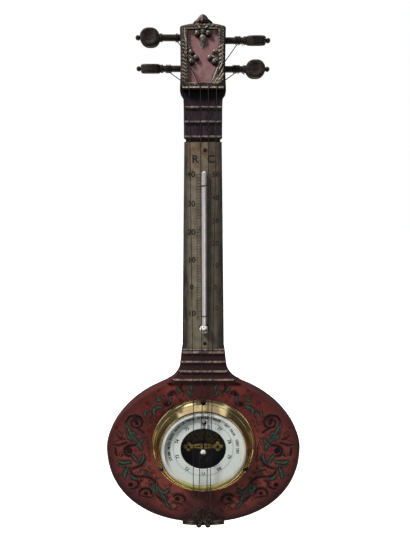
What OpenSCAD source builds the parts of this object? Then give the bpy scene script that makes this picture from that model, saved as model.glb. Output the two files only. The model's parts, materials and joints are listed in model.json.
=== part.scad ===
// Wall barometer and thermometer in the form of a long-necked lute.
// X runs right, Z runs up, and the wall is the plane y = 0 behind the object.
// The origin lies on the wall, on the axis of the dial. Sizes are in millimetres.

/* [Body] */
// Half of the oval body's width
body_half_width = 118.5; // [108:0.5:130]
// Distance from the wall to the front face
body_depth = 34; // [33:0.5:40]
// How far the oval's centre lies below the dial
oval_drop = 6; // [3:0.5:9]
// Height of the oval's lower half
oval_lower = 103.5; // [98:0.5:112]
// Height of the oval's upper half
oval_upper = 95; // [92:0.5:98]
// Depth of the upright side behind the face
side_band = 8; // [6:0.5:10]
// Rounding of the face's edge
edge_round = 3.5; // [2:0.5:5]
// How far the bowl draws in at the wall
bowl_inset = 36; // [30:1:40]
// Thickness of wood left behind the movement
floor_wall = 6; // [5:0.5:7]

/* [Neck] */
// Height of the neck's foot above the dial's axis
foot_z = 82.5; // [80:0.5:84]
// Height of the top of the red foot section
foot_top_z = 125.2; // [122:0.2:128]
// Half width of the neck's foot where it meets the body
foot_half = 43.4; // [41:0.2:46]
// Height at which the hollow curve between body and neck ends
flare_z = 108; // [104:0.5:110]
// Half width of the neck where the hollow curve ends
flare_half = 27; // [26:0.5:29]
// Half width of the neck at the foot of the scale
neck_half_low = 24.15; // [22:0.05:25]
// Half width of the neck at the top of the scale
neck_half_high = 19.8; // [19:0.1:21]
// Depth of the notch above the scale
notch_depth = 1.65; // [1:0.05:2.5]
// Height of the notch's lower edge
notch_z = 354.3; // [350:0.1:358]
// Height of the notch from edge to edge
notch_height = 3.7; // [3:0.1:5]
// Half width of the dark upper section
top_half = 20.05; // [19.5:0.05:21]
// Height at which the neck begins to widen to the head
taper_z = 396; // [394:0.5:398]
// Depth of the neck behind the face
neck_depth = 20; // [16:0.5:22]
// Height of each land that carries a gilt ridge
land_height = 2; // [1.5:0.1:2.5]
// Height of the hollow under each ridge
hollow_height = 0.9; // [0.6:0.1:1.2]
// Radius of a gilt ridge
ridge_radius = 1; // [0.7:0.05:1.2]

/* [Head] */
// Height of the head's lower end
head_z = 405; // [403:0.5:407]
// Height of the head's arched top
head_top_z = 467.8; // [465:0.1:472]
// Half width of the head at its lower end
head_half_low = 23.8; // [23.2:0.1:25]
// Half width of the head at its waist
head_waist = 22.65; // [22:0.05:23.2]
// Height of the waist
waist_z = 432; // [428:0.5:440]
// Rise of the arched top over its corners
head_arch = 2.5; // [1:0.1:4]
// Radius of the head's upper corners
head_corner = 3; // [2:0.1:4]
// Depth of the head from back to front
head_depth = 26; // [24:0.5:28]
// Height of the carved frame over the head's face
frame_height = 4; // [3:0.1:5]
// Half width of the frame's opening
opening_half = 15.7; // [14.5:0.1:16.5]
// Height of the opening's lower edge
opening_z = 411.8; // [411:0.1:414]
// Height of the opening
opening_height = 50.1; // [46:0.1:51]
// Thickness of the painted panel
panel_thickness = 1; // [0.8:0.1:1.5]
// Radius of a carved berry
berry_radius = 2.8; // [2.2:0.1:3]
// Radius of the finial's foot
finial_radius = 9.8; // [8:0.1:11]
// Height of the finial
finial_height = 10.6; // [9:0.1:12]
// Thickness of the nut
nut_thickness = 2.2; // [1.8:0.1:2.4]
// Half width of the nut
nut_half = 20.75; // [19:0.05:22]
// Height of the nut over the head's face
nut_height = 7.5; // [6.5:0.1:9]

/* [Pegs and strings] */
// Radius of a peg's shaft
peg_radius = 3.15; // [2.8:0.05:3.4]
// Depth of the peg axes behind the face
peg_drop = 10; // [9:0.5:12]
// Distance from the middle to the inner end of a peg
peg_inner = 8; // [7:0.5:10]
// Distance from the middle to the end of a peg's shaft
peg_outer = 43.9; // [43:0.1:46]
// Radius of the oval grip's rounds
grip_radius = 9; // [8:0.1:10]
// How much longer than tall the grip is
grip_stretch = 2.9; // [1.5:0.1:4]
// Thickness of the grip
grip_thickness = 9; // [8:0.1:10]
// Depth of the dished faces of the grip
dish_depth = 1.6; // [1:0.1:2]
// Radius of the ball at the peg's end
ball_radius = 2.5; // [2:0.1:3]
// Heights of the pegs: left upper, right upper, left lower, right lower
peg_z = [458.2, 455.5, 428.6, 428.1];
// Rest turn of each peg's grip in degrees
peg_turn = [0, 105, 76, 0];
// Distance from the middle at which each winding starts
winding_x = [25.2, 33, 33, 31];
// Turns of each winding
winding_turns = [2, 4, 4, 5];
// Radius of the strings' wire
wire_radius = 0.45; // [0.35:0.05:0.5]
// Gap between the turns of a winding
winding_gap = 0.5; // [0.42:0.02:0.8]

/* [Dial and bezel] */
// Radius of the bezel's flange
bezel_radius = 62.5; // [58:0.5:66]
// Width of the bezel from its edge to its bore
bezel_width = 11; // [10.5:0.1:11.5]
// Height of the bezel's lip over the face
bezel_height = 13; // [12.6:0.1:14]
// How far the lip reaches over the glass
lip_reach = 0.6; // [0.4:0.05:1]
// Thickness of the lip over the glass
lip_thickness = 1.5; // [1.3:0.05:1.7]
// Distance of the bezel's screws from its edge
screw_margin = 2.5; // [2:0.1:2.7]
// Radius of a bezel screw's head
screw_head = 3.4; // [3:0.1:3.6]
// Radius of a bezel screw's shank
screw_shank = 1.4; // [1.2:0.05:1.5]
// Thickness of the flange under a bezel screw
screw_seat = 2; // [1.8:0.1:2.4]
// Height of the dial's face over the front face
dial_height = 6.5; // [6:0.1:7]
// Thickness of the dial plate
dial_thickness = 1; // [0.8:0.1:1.2]
// Width of the printed ring of the dial
dial_width = 24.1; // [22:0.1:27]
// Thickness of the glass
glass_thickness = 1.6; // [1.4:0.1:2]
// Width of the glass's bevelled edge
glass_bevel = 3.4; // [2.5:0.1:4]
// Radius of the set hand's knob
knob_radius = 3.2; // [2.6:0.1:3.3]
// Height of the knob over the glass
knob_height = 2.9; // [2.5:0.1:3.5]
// Radius of the set hand's spindle
spindle_radius = 1.5; // [1.2:0.05:1.8]

/* [Movement] */
// Distance from the bezel's bore to the wall of the movement's case
case_step = 1.5; // [1.2:0.1:2.4]
// Wall of the movement's case
case_wall = 1.2; // [1:0.1:1.4]
// Width of the bezel's edge outside the case's flange
flange_margin = 4.5; // [4.3:0.1:6]
// Thickness of the case's flange under the bezel
case_flange_thickness = 1; // [0.8:0.1:1.2]
// Thickness of the base plate
base_thickness = 2; // [1.6:0.1:2.4]
// Space between the pressure capsule and the case
capsule_space = 22; // [20:0.5:24]
// Thickness of the pressure capsule
capsule_thickness = 8.3; // [7:0.1:9]
// Half width of the mainspring
spring_half = 6; // [5:0.1:6.4]
// Thickness of the mainspring
spring_thickness = 1.6; // [1.2:0.1:1.8]
// Depth of the top plate behind the front face
top_plate_depth = 5; // [4.5:0.1:5.5]
// Thickness of the top plate
top_plate_thickness = 1.5; // [1.2:0.1:2]
// Radius of the pointer's arbor
arbor_radius = 0.8; // [0.7:0.05:1]
// Radius of the drum that takes the chain
chain_drum = 1.2; // [1.1:0.05:1.4]
// Thickness of the arbor's bridge
bridge_thickness = 1.5; // [1.2:0.1:1.8]
// Distance of the bridge's feet inside the dial's open centre
bridge_inset = 9.5; // [8.5:0.1:10]
// Distance from the arbor to the rocking shaft
rocker_x = 10; // [9.8:0.05:10.2]
// Length of the rocking shaft's chain arm
chain_arm = 8.8; // [8.4:0.1:9.2]
// Length of the rocking shaft's short crank
crank_arm = 2; // [1.8:0.05:2.1]
// Distance from the case's wall to the adjusting screw
adjuster_inset = 14; // [13:0.1:14.5]

/* [Thermometer] */
// Radius of the thermometer's tube
tube_radius = 2.5; // [2:0.1:2.8]
// Radius of its bulb
bulb_radius = 5.2; // [4.5:0.1:5.6]
// Height of the bulb's centre
bulb_z = 149.8; // [146:0.2:153]
// Height of the tube's top
tube_top_z = 324.2; // [318:0.2:328]
// Distance of the tube to the right of the middle
tube_x = 1; // [0.6:0.1:1.2]
// Height of the mercury in the tube
mercury_z = 243.9; // [175:0.1:315]
// Thickness of the scale plate
plate_thickness = 1; // [0.8:0.1:1.2]

/* [Fits] */
// Running clearance of shafts in their holes
running = 0.04; // [0.02:0.01:0.08]
// Clearance around fitted pieces
fitted = 0.2; // [0.1:0.05:0.3]

/* [Hidden] */
$fn = 64;

// Places and curves that follow from the sizes above
face = body_depth;
side_bottom = face - edge_round - side_band;
heel_out = side_bottom / 2;
heel_half = 10;
heel_rise = 1.04;
lower_power = 2.2;
upper_power = 1.85;
shoulder_angle = 60;
flare_bend = 0.911;
foot_lip = 0.75;
edge_break = 1;
neck_side = 9;
foot_ridge_z = [foot_top_z - 1, foot_top_z - 4.3, foot_top_z - 15.9, foot_top_z - 27.7, foot_z + 4.4];
top_ridge_z = [taper_z - 7.5, taper_z - 21.8, taper_z - 36.6];
notch_mid = notch_z + notch_height / 2;
peg_out = face - peg_drop;
bezel_bore = bezel_radius - bezel_width;
lip_radius = bezel_bore - lip_reach;
screw_circle = bezel_radius - screw_margin;
case_radius = bezel_bore - case_step;
case_flange = bezel_radius - flange_margin;
capsule_radius = case_radius - capsule_space;
adjuster_z = case_radius - adjuster_inset;
case_back = floor_wall + fitted;
case_floor = case_back + case_wall;
base_top = case_floor + base_thickness;
capsule_low = base_top + 1;
capsule_top = capsule_low + capsule_thickness;
spring_low = capsule_top + 3.7;
spring_top = spring_low + spring_thickness;
spring_end_z = case_radius - 8;
pivot_out = (spring_low + spring_top) / 2;
top_plate_top = face - top_plate_depth;
top_plate_low = top_plate_top - top_plate_thickness;
rocker_out = spring_low + 0.9;
shaft_radius = 1;
shaft_half = 12.5;
cock_z = 10;
chain_out = rocker_out + chain_arm;
chain_radius = 0.25;
chain_z = -chain_drum - chain_radius - running;
bridge_out = face;
stack_radius = bezel_bore - fitted / 2;
dial_open = stack_radius - dial_width;
bridge_reach = dial_open - bridge_inset;
glass_edge = 0.6;
bevel_slope = (glass_thickness - glass_edge) / glass_bevel;
glass_low = bezel_height - lip_thickness - running - glass_edge - bevel_slope * (stack_radius - lip_radius);
glass_top = glass_low + glass_thickness;
pointer_h = dial_height + 1.1;
hand_h = pointer_h + 1.5;
blade = 0.5;
tube_h = plate_thickness + 0.3 + tube_radius;
string_lift = wire_radius + 0.05;
nut_z = head_z + 0.2;
string_nut = [-13.9, -2.5, 5.6, 13.9];
string_top = [-11.4, -1.3, 5.6, 10];
string_low = [-12, -5.1, 4.5, 8.6];
string_tail = [-11, -5, 4.5, 9];
string_peg = [2, 0, 1, 3];
tail_height = 3;
tail_low = -oval_drop - oval_lower;
pin_rise = 10.5;
pin_z = tail_low + pin_rise;

// Lays a shape drawn as right, up and out of the wall against the wall
module wall_frame() {
    rotate([90, 0, 0]) children();
}

// Closed skin over rings of equally many points
module skin(rings) {
    n = len(rings[0]);
    last = len(rings) - 1;
    polyhedron(
        points = [for (ring = rings) each ring],
        faces = concat(
            [[for (i = [n - 1:-1:0]) i]],
            [for (k = [0:last - 1]) for (i = [0:n - 1])
                [k * n + i, k * n + (i + 1) % n, (k + 1) * n + (i + 1) % n, (k + 1) * n + i]],
            [[for (i = [0:n - 1]) last * n + i]]),
        convexity = 6);
}

// Unit vector, and a tube of even thickness along a list of points
function unit(v) = v / norm(v);
function tangent(path, i) =
    let (last = len(path) - 1)
    i == 0 ? unit(path[1] - path[0])
    : i == last ? unit(path[last] - path[last - 1])
    : unit(unit(path[i + 1] - path[i]) + unit(path[i] - path[i - 1]));
function tube_ring(path, i, radius, sides, aside) =
    let (t = tangent(path, i), side = unit(cross(t, aside)), over = cross(t, side))
    [for (k = [0:sides - 1]) path[i]
        + radius * cos(360 * k / sides) * side - radius * sin(360 * k / sides) * over];
module tube(path, radius, sides, aside) {
    skin([for (i = [0:len(path) - 1]) tube_ring(path, i, radius, sides, aside)]);
}

// Oval outline of the body, drawn in by inset, from the foot of the oval round to the neck
function curve(v, power) = sign(v) * pow(abs(v), 2 / power);
function oval_point(a, inset, height, power) =
    [(body_half_width - inset) * curve(cos(a), power),
        -oval_drop + (height - inset) * curve(sin(a), power)];
function oval_right(inset) = concat(
    [for (a = [-87:3:-3]) oval_point(a, inset, oval_lower, lower_power)],
    [for (a = [0:3:shoulder_angle]) oval_point(a, inset, oval_upper, upper_power)]);
function body_outline(inset, half, top) =
    let (right = oval_right(inset), n = len(right))
    concat([[0, -oval_drop - oval_lower + inset]], right, [[half, top], [-half, top]],
        [for (i = [n - 1:-1:0]) [-right[i][0], right[i][1]]]);
function body_ring(inset, out, half, top) =
    [for (p = body_outline(inset, half, top)) [p[0], p[1], out]];
function bowl_ring(b) =
    let (inset = bowl_inset * (1 - cos(b)), out = side_bottom * (1 - sin(b)),
        turn = asin(min(1, 2 * sin(b))),
        half = max(heel_half, foot_half * cos(turn)),
        drop = heel_rise * max(0, inset - bowl_inset * (1 - cos(30))))
    body_ring(inset, out, half, foot_z - drop);
body_rings = concat(
    [for (a = [0:22.5:90]) body_ring(edge_round * (1 - sin(a)), face - edge_round * (1 - cos(a)),
        foot_half - edge_round * (1 - sin(a)), foot_z)],
    [for (b = [0:15:90]) bowl_ring(b)]);

case_clearance = 0.5;
// Length of the bezel screws' shanks in the wood, and of a cut that goes right through a plate
bezel_shank = 8;
through = 9;
module body_shell() color("firebrick") wall_frame() difference() {
    skin(body_rings);
    translate([0, 0, floor_wall]) cylinder(h = face, r = case_radius + case_clearance);
    translate([0, -adjuster_z, -1]) cylinder(h = floor_wall + 2, r = 5);
    bezel_screw_places() translate([0, 0, face - bezel_shank - 1])
        cylinder(h = bezel_shank + 2, r = screw_shank + fitted / 4);
}

// Cross section of the neck at one height: a flat front, upright sides and a round back
function neck_ring(z, half, front, side, back) =
    let (right = concat([[half - edge_break, front], [half, front - edge_break]],
        [for (c = [0:15:75]) [half * cos(c), side - (side - back) * sin(c)]]))
    concat([for (p = right) [p[0], z, p[1]]], [[0, z, back]],
        [for (i = [len(right) - 1:-1:0]) [-right[i][0], z, right[i][1]]]);
function between(z, z0, z1, v0, v1) = v0 + (v1 - v0) * (z - z0) / (z1 - z0);
function flare(t) = (1 - sqrt(1 - pow(flare_bend * t, 2))) / (1 - sqrt(1 - pow(flare_bend, 2)));
function foot_width(z) =
    z > flare_z ? between(z, flare_z, foot_top_z, flare_half, neck_half_low + foot_lip)
    : flare_half + (foot_half - flare_half) * flare((flare_z - z) / (flare_z - foot_z));
function foot_ring(z, h) = neck_ring(z, foot_width(z), face + h,
    between(z, foot_z, foot_top_z, side_bottom, face - neck_side),
    between(z, foot_z, foot_top_z, heel_out, face - neck_depth));

// Heights of a ridged face: a land under each ridge, and below it a hollow that rises to the next
function bay(z0, z1) = [[z0 + ridge_radius, land_height], [z0 - ridge_radius, land_height],
    for (t = [0, 0.3, 0.65]) [
        between(t, 0, 1, z0 - ridge_radius - 0.4, z1 + ridge_radius),
        between(t, 0, 1, hollow_height, land_height)]];
function ridged(zs, bottom) = [for (i = [0:len(zs) - 1])
    each bay(zs[i], i < len(zs) - 1 ? zs[i + 1] : bottom - ridge_radius)];

module neck_foot_section() color("firebrick") wall_frame()
    skin([for (p = concat(ridged(foot_ridge_z, foot_z), [[foot_z, land_height]])) foot_ring(p[0], p[1])]);

module ridge(z, half, radius) {
    translate([-half, z, face + land_height]) difference() {
        rotate([0, 90, 0]) cylinder(h = 2 * half, r = radius);
        translate([-1, -2 * radius, -2 * radius]) cube([2 * half + 2, 4 * radius, 2 * radius]);
    }
}

module foot_ridges() color("darkgoldenrod") wall_frame()
    for (z = foot_ridge_z) ridge(z, foot_width(z) - edge_break, ridge_radius);

function core_ring(z, half) = neck_ring(z, half, face, face - neck_side, face - neck_depth);

module neck_core() color("saddlebrown") wall_frame() difference() {
    skin([core_ring(notch_mid, neck_half_high - notch_depth),
        core_ring(notch_z + 0.6, neck_half_high - notch_depth),
        core_ring(notch_z, neck_half_high), core_ring(foot_top_z, neck_half_low)]);
    translate([tube_x, bulb_z, face - 2.4]) cylinder(h = 4, r = bulb_radius + 1);
    scale_screw_places() translate([0, 0, face - 8]) cylinder(h = 10, r = scale_shank + fitted / 4);
}

// The dark section between the scale and the head widens in a smooth curve
function top_width(z) = z <= taper_z ? top_half
    : between(cos(180 * (z - taper_z) / (head_z - taper_z)), 1, -1, top_half, head_half_low);
function top_ring(z, half, h) = neck_ring(z, half, face + h, face - neck_side,
    z <= taper_z ? face - neck_depth : between(z, taper_z, head_z, face - neck_depth, face - neck_depth - 3));
top_steps = 6;
top_profile = concat(
    [for (i = [top_steps:-1:1]) let (z = between(i, 0, top_steps, taper_z, head_z))
        [z, between(z, top_ridge_z[0], head_z, land_height, 0.5)]],
    ridged([top_ridge_z[0], top_ridge_z[1]], top_ridge_z[2] + ridge_radius),
    [[top_ridge_z[2] + ridge_radius, land_height], [top_ridge_z[2] - ridge_radius, land_height]]);

module neck_top_section() color("darkslateblue") wall_frame()
    skin(concat([for (p = top_profile) top_ring(p[0], top_width(p[0]), p[1])],
        [top_ring(notch_z + notch_height - 0.4, top_half - 1.9, hollow_height),
        top_ring(notch_mid, top_half - 1.9, 0)]));

module top_ridges() color("darkgoldenrod") wall_frame()
    for (z = top_ridge_z) ridge(z, top_half - edge_break, ridge_radius);

// Outline of the head, drawn in by inset, from the foot up the right side and over the arch
function head_side(z) = z < waist_z
    ? head_waist + (head_half_low - head_waist) * pow((waist_z - z) / (waist_z - head_z), 2)
    : head_waist + 0.4 * pow((z - waist_z) / (head_top_z - waist_z), 2);
head_shoulder = head_waist + 0.4;
function head_right(low) = concat(
    [for (i = [0:8]) let (z = between(i, 0, 8, low, head_top_z - head_arch - head_corner)) [head_side(z), z]],
    [for (a = [15:15:75]) [head_shoulder - head_corner + head_corner * cos(a),
        head_top_z - head_arch - head_corner + head_corner * sin(a)]],
    [for (t = [1:-0.2:0.2]) [(head_shoulder - head_corner) * t, head_top_z - head_arch * t * t]]);
function head_outline(low) =
    let (right = head_right(low), n = len(right))
    concat(right, [[0, head_top_z]], [for (i = [n - 1:-1:0]) [-right[i][0], right[i][1]]]);

module peg_places() {
    for (k = [0:3]) translate([0, peg_z[k], peg_out]) rotate([0, 0, k % 2 == 0 ? 180 : 0]) children();
}

hanger_z = 441;
hanger_half = 11;
hanger_height = 34;
hanger_thickness = 1.5;
hanger_hole = 4;
hanger_screw_z = 13;
head_back = face - head_depth;

module head_block() color("darkolivegreen") wall_frame() difference() {
    translate([0, 0, head_back]) linear_extrude(head_depth) polygon(head_outline(head_z));
    peg_places() rotate([0, 90, 0]) translate([0, 0, peg_inner - fitted])
        cylinder(h = 30, r = peg_radius + running);
    translate([0, hanger_z, head_back - 1]) cylinder(h = 7, r = hanger_hole + 3);
    hanger_screw_places() translate([0, 0, head_back - 1]) cylinder(h = through, r = 1 + fitted / 4);
}

frame_low = head_z + nut_thickness + 0.5;
frame_bevel = 1.6;
module frame_opening(extra) {
    translate([-opening_half + extra, opening_z + extra])
        square([2 * (opening_half - extra), opening_height - 2 * extra]);
}
module head_frame() color("darkgoldenrod") wall_frame() translate([0, 0, face]) {
    linear_extrude(0.6 * frame_height) difference() {
        polygon(head_outline(frame_low));
        frame_opening(0);
    }
    translate([0, 0, 0.6 * frame_height]) linear_extrude(0.4 * frame_height) difference() {
        offset(delta = -frame_bevel) polygon(head_outline(frame_low - frame_bevel));
        frame_opening(0);
    }
}

module head_panel() color("rosybrown") wall_frame()
    translate([0, 0, face]) linear_extrude(panel_thickness) frame_opening(fitted);

// Berries and leaves lie on the panel, cut flat where they meet it
module berry(x, z) {
    translate([x, z, face + panel_thickness]) difference() {
        translate([0, 0, 0.6 * berry_radius]) sphere(r = berry_radius);
        translate([-5, -5, -10]) cube([10, 10, 10]);
    }
}
module leaf(x, z, length, half, turn) {
    translate([x, z, face + panel_thickness]) rotate([0, 0, turn]) linear_extrude(2)
        polygon([[0, half], [-half, 0.35 * half], [-0.8 * half, -0.4 * length], [0, -length],
            [0.8 * half, -0.4 * length], [half, 0.35 * half]]);
}
cluster_z = opening_z + opening_height - berry_radius - fitted - 0.4;
module top_cluster() color("goldenrod") wall_frame() {
    for (x = [-5.4, 0, 5.4]) berry(x, cluster_z);
    leaf(0, cluster_z - 1, 10.5, 4.2, 0);
    leaf(-4.5, cluster_z, 4, 3, -50);
    leaf(4.5, cluster_z, 4, 3, 50);
}
berry_x = opening_half - berry_radius - 1;
berry_z = 436.2;
side_leaf = 3.2;
module side_clusters() color("goldenrod") wall_frame()
    for (side = [-1, 1]) {
        berry(side * berry_x, berry_z + 4.4);
        berry(side * berry_x, berry_z - 4.4);
        berry(side * (berry_x - 5), berry_z);
        leaf(side * (opening_half - fitted - side_leaf), berry_z, 6.5, side_leaf, -90 * side);
    }

finial_out = face - 6;
finial_seat = 0.8;
finial_points = [[0, 0], [1, 0], [1.02, 0.14], [1.01, 0.26], [0.91, 0.34], [0.77, 0.44], [0.67, 0.5],
    [0.6, 0.56], [0.54, 0.64], [0.49, 0.71], [0.42, 0.8], [0.33, 0.88], [0.19, 0.96], [0, 1]];
module finial() color("saddlebrown") wall_frame() difference() {
    translate([0, head_top_z, finial_out]) rotate([-90, 0, 0]) rotate_extrude()
        polygon(concat([[0, -finial_seat], [finial_radius, -finial_seat]],
            [for (p = finial_points) if (p[1] > 0) [p[0] * finial_radius, p[1] * finial_height]]));
    translate([0, 0, head_back]) linear_extrude(head_depth + frame_height) polygon(head_outline(head_z));
}

module nut() color("wheat") wall_frame() translate([0, nut_z, face]) {
    translate([-nut_half, 0, 0]) cube([2 * nut_half, nut_thickness, nut_height - nut_thickness / 2]);
    translate([-nut_half, nut_thickness / 2, nut_height - nut_thickness / 2]) rotate([0, 90, 0])
        cylinder(h = 2 * nut_half, r = nut_thickness / 2);
}

// Tuning pegs
grip_x = peg_outer + grip_radius + grip_stretch / 2;
ball_x = grip_x + grip_radius + grip_stretch / 2 + ball_radius - 0.5;
grip_edge = 2.5;
grip_profile = concat([[0, -grip_thickness / 2]],
    [for (a = [-90:22.5:90]) [grip_radius - grip_edge + grip_edge * cos(a),
        sign(a) * (grip_thickness / 2 - grip_edge) + grip_edge * sin(a)]],
    [[0, grip_thickness / 2]]);
module grip() {
    dish = grip_radius - grip_edge;
    ball = (dish * dish + dish_depth * dish_depth) / (2 * dish_depth);
    difference() {
        union() {
            for (side = [-1, 1]) translate([side * grip_stretch / 2, 0, 0])
                rotate_extrude() polygon(grip_profile);
            rotate([90, 0, 90]) translate([0, 0, -grip_stretch / 2]) linear_extrude(grip_stretch)
                polygon(concat(grip_profile, [for (i = [len(grip_profile) - 2:-1:1])
                    [-grip_profile[i][0], grip_profile[i][1]]]));
        }
        for (side = [-1, 1]) translate([0, 0, side * (grip_thickness / 2 - dish_depth + ball)])
            sphere(r = ball);
    }
}
module peg(k) {
    translate([0, peg_z[k], peg_out]) rotate([0, 0, k % 2 == 0 ? 180 : 0]) {
        rotate([0, 90, 0]) {
            translate([0, 0, peg_inner]) cylinder(h = peg_outer - peg_inner + 2, r = peg_radius);
            translate([0, 0, peg_outer - 2.2]) cylinder(h = 2.4, r = peg_radius + 0.8);
            translate([0, 0, grip_x + grip_radius]) cylinder(h = ball_x - grip_x - grip_radius, r = 1.6);
        }
        translate([grip_x, 0, 0]) rotate([peg_turn[k], 0, 0]) grip();
        translate([ball_x, 0, 0]) sphere(r = ball_radius);
    }
}
module peg_left_upper() color("dimgray") wall_frame() peg(0);
module peg_right_upper() color("dimgray") wall_frame() peg(1);
module peg_left_lower() color("dimgray") wall_frame() peg(2);
module peg_right_lower() color("dimgray") wall_frame() peg(3);

// Wire wound on a peg: an open helix with short straight ends
coil_radius = peg_radius + wire_radius + 0.1;
coil_pitch = 2 * wire_radius + winding_gap;
coil_steps = 24;
function coil_point(k, a) = [winding_x[k] + coil_pitch * a / 360, coil_radius * cos(a), coil_radius * sin(a)];
function coil_path(k) =
    let (turns = [for (i = [0:coil_steps * winding_turns[k]]) coil_point(k, 360 * i / coil_steps)],
        n = len(turns) - 1, lead = 2 * wire_radius)
    concat([turns[0] - lead * unit(turns[1] - turns[0])], turns,
        [turns[n] + lead * unit(turns[n] - turns[n - 1])]);
function coil_gap(k) =
    let (path = coil_path(k), n = len(path) - 1)
    min([for (i = [0:n]) for (j = [i + coil_steps / 2:1:n]) norm(path[i] - path[j])]) - 2 * wire_radius;
echo("least gap between turns", [for (k = [0:3]) coil_gap(k)]);
module winding(k) {
    translate([0, peg_z[k], peg_out]) rotate([0, 0, k % 2 == 0 ? 180 : 0])
        tube(coil_path(k), wire_radius, 6, [1, 0, 0]);
}
module winding_left_upper() color("gray") wall_frame() winding(0);
module winding_right_upper() color("gray") wall_frame() winding(1);
module winding_left_lower() color("gray") wall_frame() winding(2);
module winding_right_lower() color("gray") wall_frame() winding(3);

// Each string runs from its peg over the frame's edge, the nut and the bezel to its pin
string_start = coil_radius + 2.6 * wire_radius + 0.4;
function rim_z(x) = sqrt(pow(lip_radius + 0.6, 2) - x * x);
function string_path(s) =
    let (k = string_peg[s], side = k % 2 == 0 ? -1 : 1,
        start_x = side * (winding_x[k] + coil_pitch * winding_turns[k] / 2),
        start = [start_x, peg_z[k] - 0.7 * string_start, peg_out + 0.72 * string_start],
        over = [string_nut[s], nut_z + nut_thickness / 2, face + nut_height + string_lift],
        edge_x = side * (head_waist - 0.4),
        edge = [edge_x, between(edge_x, start[0], over[0], start[1], over[1]),
            face + frame_height + wire_radius + 0.4],
        rim = face + bezel_height + string_lift,
        top = [string_top[s], rim_z(string_top[s]), rim],
        low = [string_low[s], -rim_z(string_low[s]), rim],
        aside = -knob_radius - wire_radius - 0.3,
        tail = [string_tail[s], pin_z + 1.1 + string_lift + 0.1, face + tail_height + 2.4])
    s == 1 ? [start, edge, over, top, [aside, 0, rim], low, tail] : [start, edge, over, top, low, tail];
module string_1() color("dimgray") wall_frame() tube(string_path(0), wire_radius, 8, [0, 0, 1]);
module string_2() color("dimgray") wall_frame() tube(string_path(1), wire_radius, 8, [0, 0, 1]);
module string_3() color("dimgray") wall_frame() tube(string_path(2), wire_radius, 8, [0, 0, 1]);
module string_4() color("dimgray") wall_frame() tube(string_path(3), wire_radius, 8, [0, 0, 1]);

// Cast tailpiece over the lower rim
band_half = 26.5;
band_inset = 6.5;
band_wall = 1.2;
hook_depth = 9;
lobe_x = 5.7;
lobe_drop = 0.3;
tail_lobe = 3.4;
module rim_band(inner, outer) {
    intersection() {
        difference() {
            polygon(body_outline(-outer, foot_half, foot_z));
            polygon(body_outline(inner, foot_half, foot_z - 20));
        }
        translate([-band_half, -oval_drop - oval_lower - 20]) square([2 * band_half, 60]);
    }
}
tail_leaf = [[19, 4], [14, 12.5], [13.4, 14.9], [9.5, 16.1], [8.2, 19.5], [7, 22.1], [4, 22.9],
    [1.4, 21.5], [0, 19.5]];
module tailpiece() color("peru") wall_frame() {
    translate([0, 0, face]) linear_extrude(2) rim_band(band_inset, band_wall);
    translate([0, 0, face - hook_depth]) linear_extrude(hook_depth) rim_band(-fitted / 2, band_wall);
    for (side = [-1, 1]) translate([side * lobe_x, tail_low - lobe_drop, face])
        cylinder(h = tail_height, r = tail_lobe);
    translate([0, tail_low, face]) linear_extrude(tail_height) polygon(concat(tail_leaf,
        [for (i = [len(tail_leaf) - 2:-1:0]) [-tail_leaf[i][0], tail_leaf[i][1]]]));
}
module string_pins() color("goldenrod") wall_frame()
    for (x = string_tail) translate([x, pin_z, face + tail_height]) {
        cylinder(h = 3.6, r = 1);
        translate([0, 0, 3.4]) cylinder(h = 0.9, r = 1.8);
    }

// Scale plate with the thermometer
scale_shank = 1;
scale_screw_z = [foot_top_z + 6.2, notch_z - 8.1];
module scale_screw_places() {
    for (z = scale_screw_z) translate([2, z, 0]) children();
}
plate_margin = 0.8;
module scale_plate() color("olive") wall_frame() translate([0, 0, face]) difference() {
    linear_extrude(plate_thickness) polygon([
        [-neck_half_low + plate_margin, foot_top_z + fitted],
        [neck_half_low - plate_margin, foot_top_z + fitted],
        [neck_half_high - plate_margin, notch_z - fitted],
        [-neck_half_high + plate_margin, notch_z - fitted]]);
    translate([tube_x, bulb_z, -1]) cylinder(h = 4, r = bulb_radius + 0.8);
    scale_screw_places() translate([0, 0, -1]) cylinder(h = 4, r = scale_shank + fitted / 4);
    clip_places() for (side = [-1, 1]) translate([side * clip_radius, 0, -1])
        cylinder(h = 4, r = clip_wire + fitted / 4);
}
module scale_screws() color("gold") wall_frame() scale_screw_places() translate([0, 0, face]) {
    translate([0, 0, -7]) cylinder(h = 7 + plate_thickness, r = scale_shank);
    translate([0, 0, plate_thickness]) difference() {
        intersection() {
            cylinder(h = 1.2, r = 2.1);
            translate([0, 0, -2.2]) sphere(r = 3.2);
        }
        translate([-3, -0.25, 0.6]) cube([6, 0.5, 2]);
    }
}
capillary = 0.7;
bulb_wall = 0.7;
tube_start = bulb_z + sqrt(bulb_radius * bulb_radius - tube_radius * tube_radius) - 0.4;
module thermometer_tube() color("azure") wall_frame() translate([tube_x, 0, face + tube_h]) {
    difference() {
        union() {
            translate([0, bulb_z, 0]) sphere(r = bulb_radius);
            translate([0, tube_start, 0]) rotate([-90, 0, 0])
                cylinder(h = tube_top_z - tube_radius - tube_start, r = tube_radius);
            translate([0, tube_top_z - tube_radius, 0]) sphere(r = tube_radius);
        }
        translate([0, bulb_z, 0]) sphere(r = bulb_radius - bulb_wall);
        translate([0, bulb_z, 0]) rotate([-90, 0, 0])
            cylinder(h = tube_top_z - bulb_z - 2 * tube_radius, r = capillary);
    }
}
module mercury() color("silver") wall_frame() translate([tube_x, bulb_z, face + tube_h]) {
    sphere(r = bulb_radius - bulb_wall - 0.05);
    rotate([-90, 0, 0]) cylinder(h = mercury_z - bulb_z, r = capillary - 0.05);
}
clip_wire = 0.4;
clip_radius = tube_radius + clip_wire + 0.05;
clip_z = [bulb_z + 15.6, tube_top_z - 14.9];
module clip_places() {
    for (z = clip_z) translate([tube_x, z, 0]) children();
}
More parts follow.
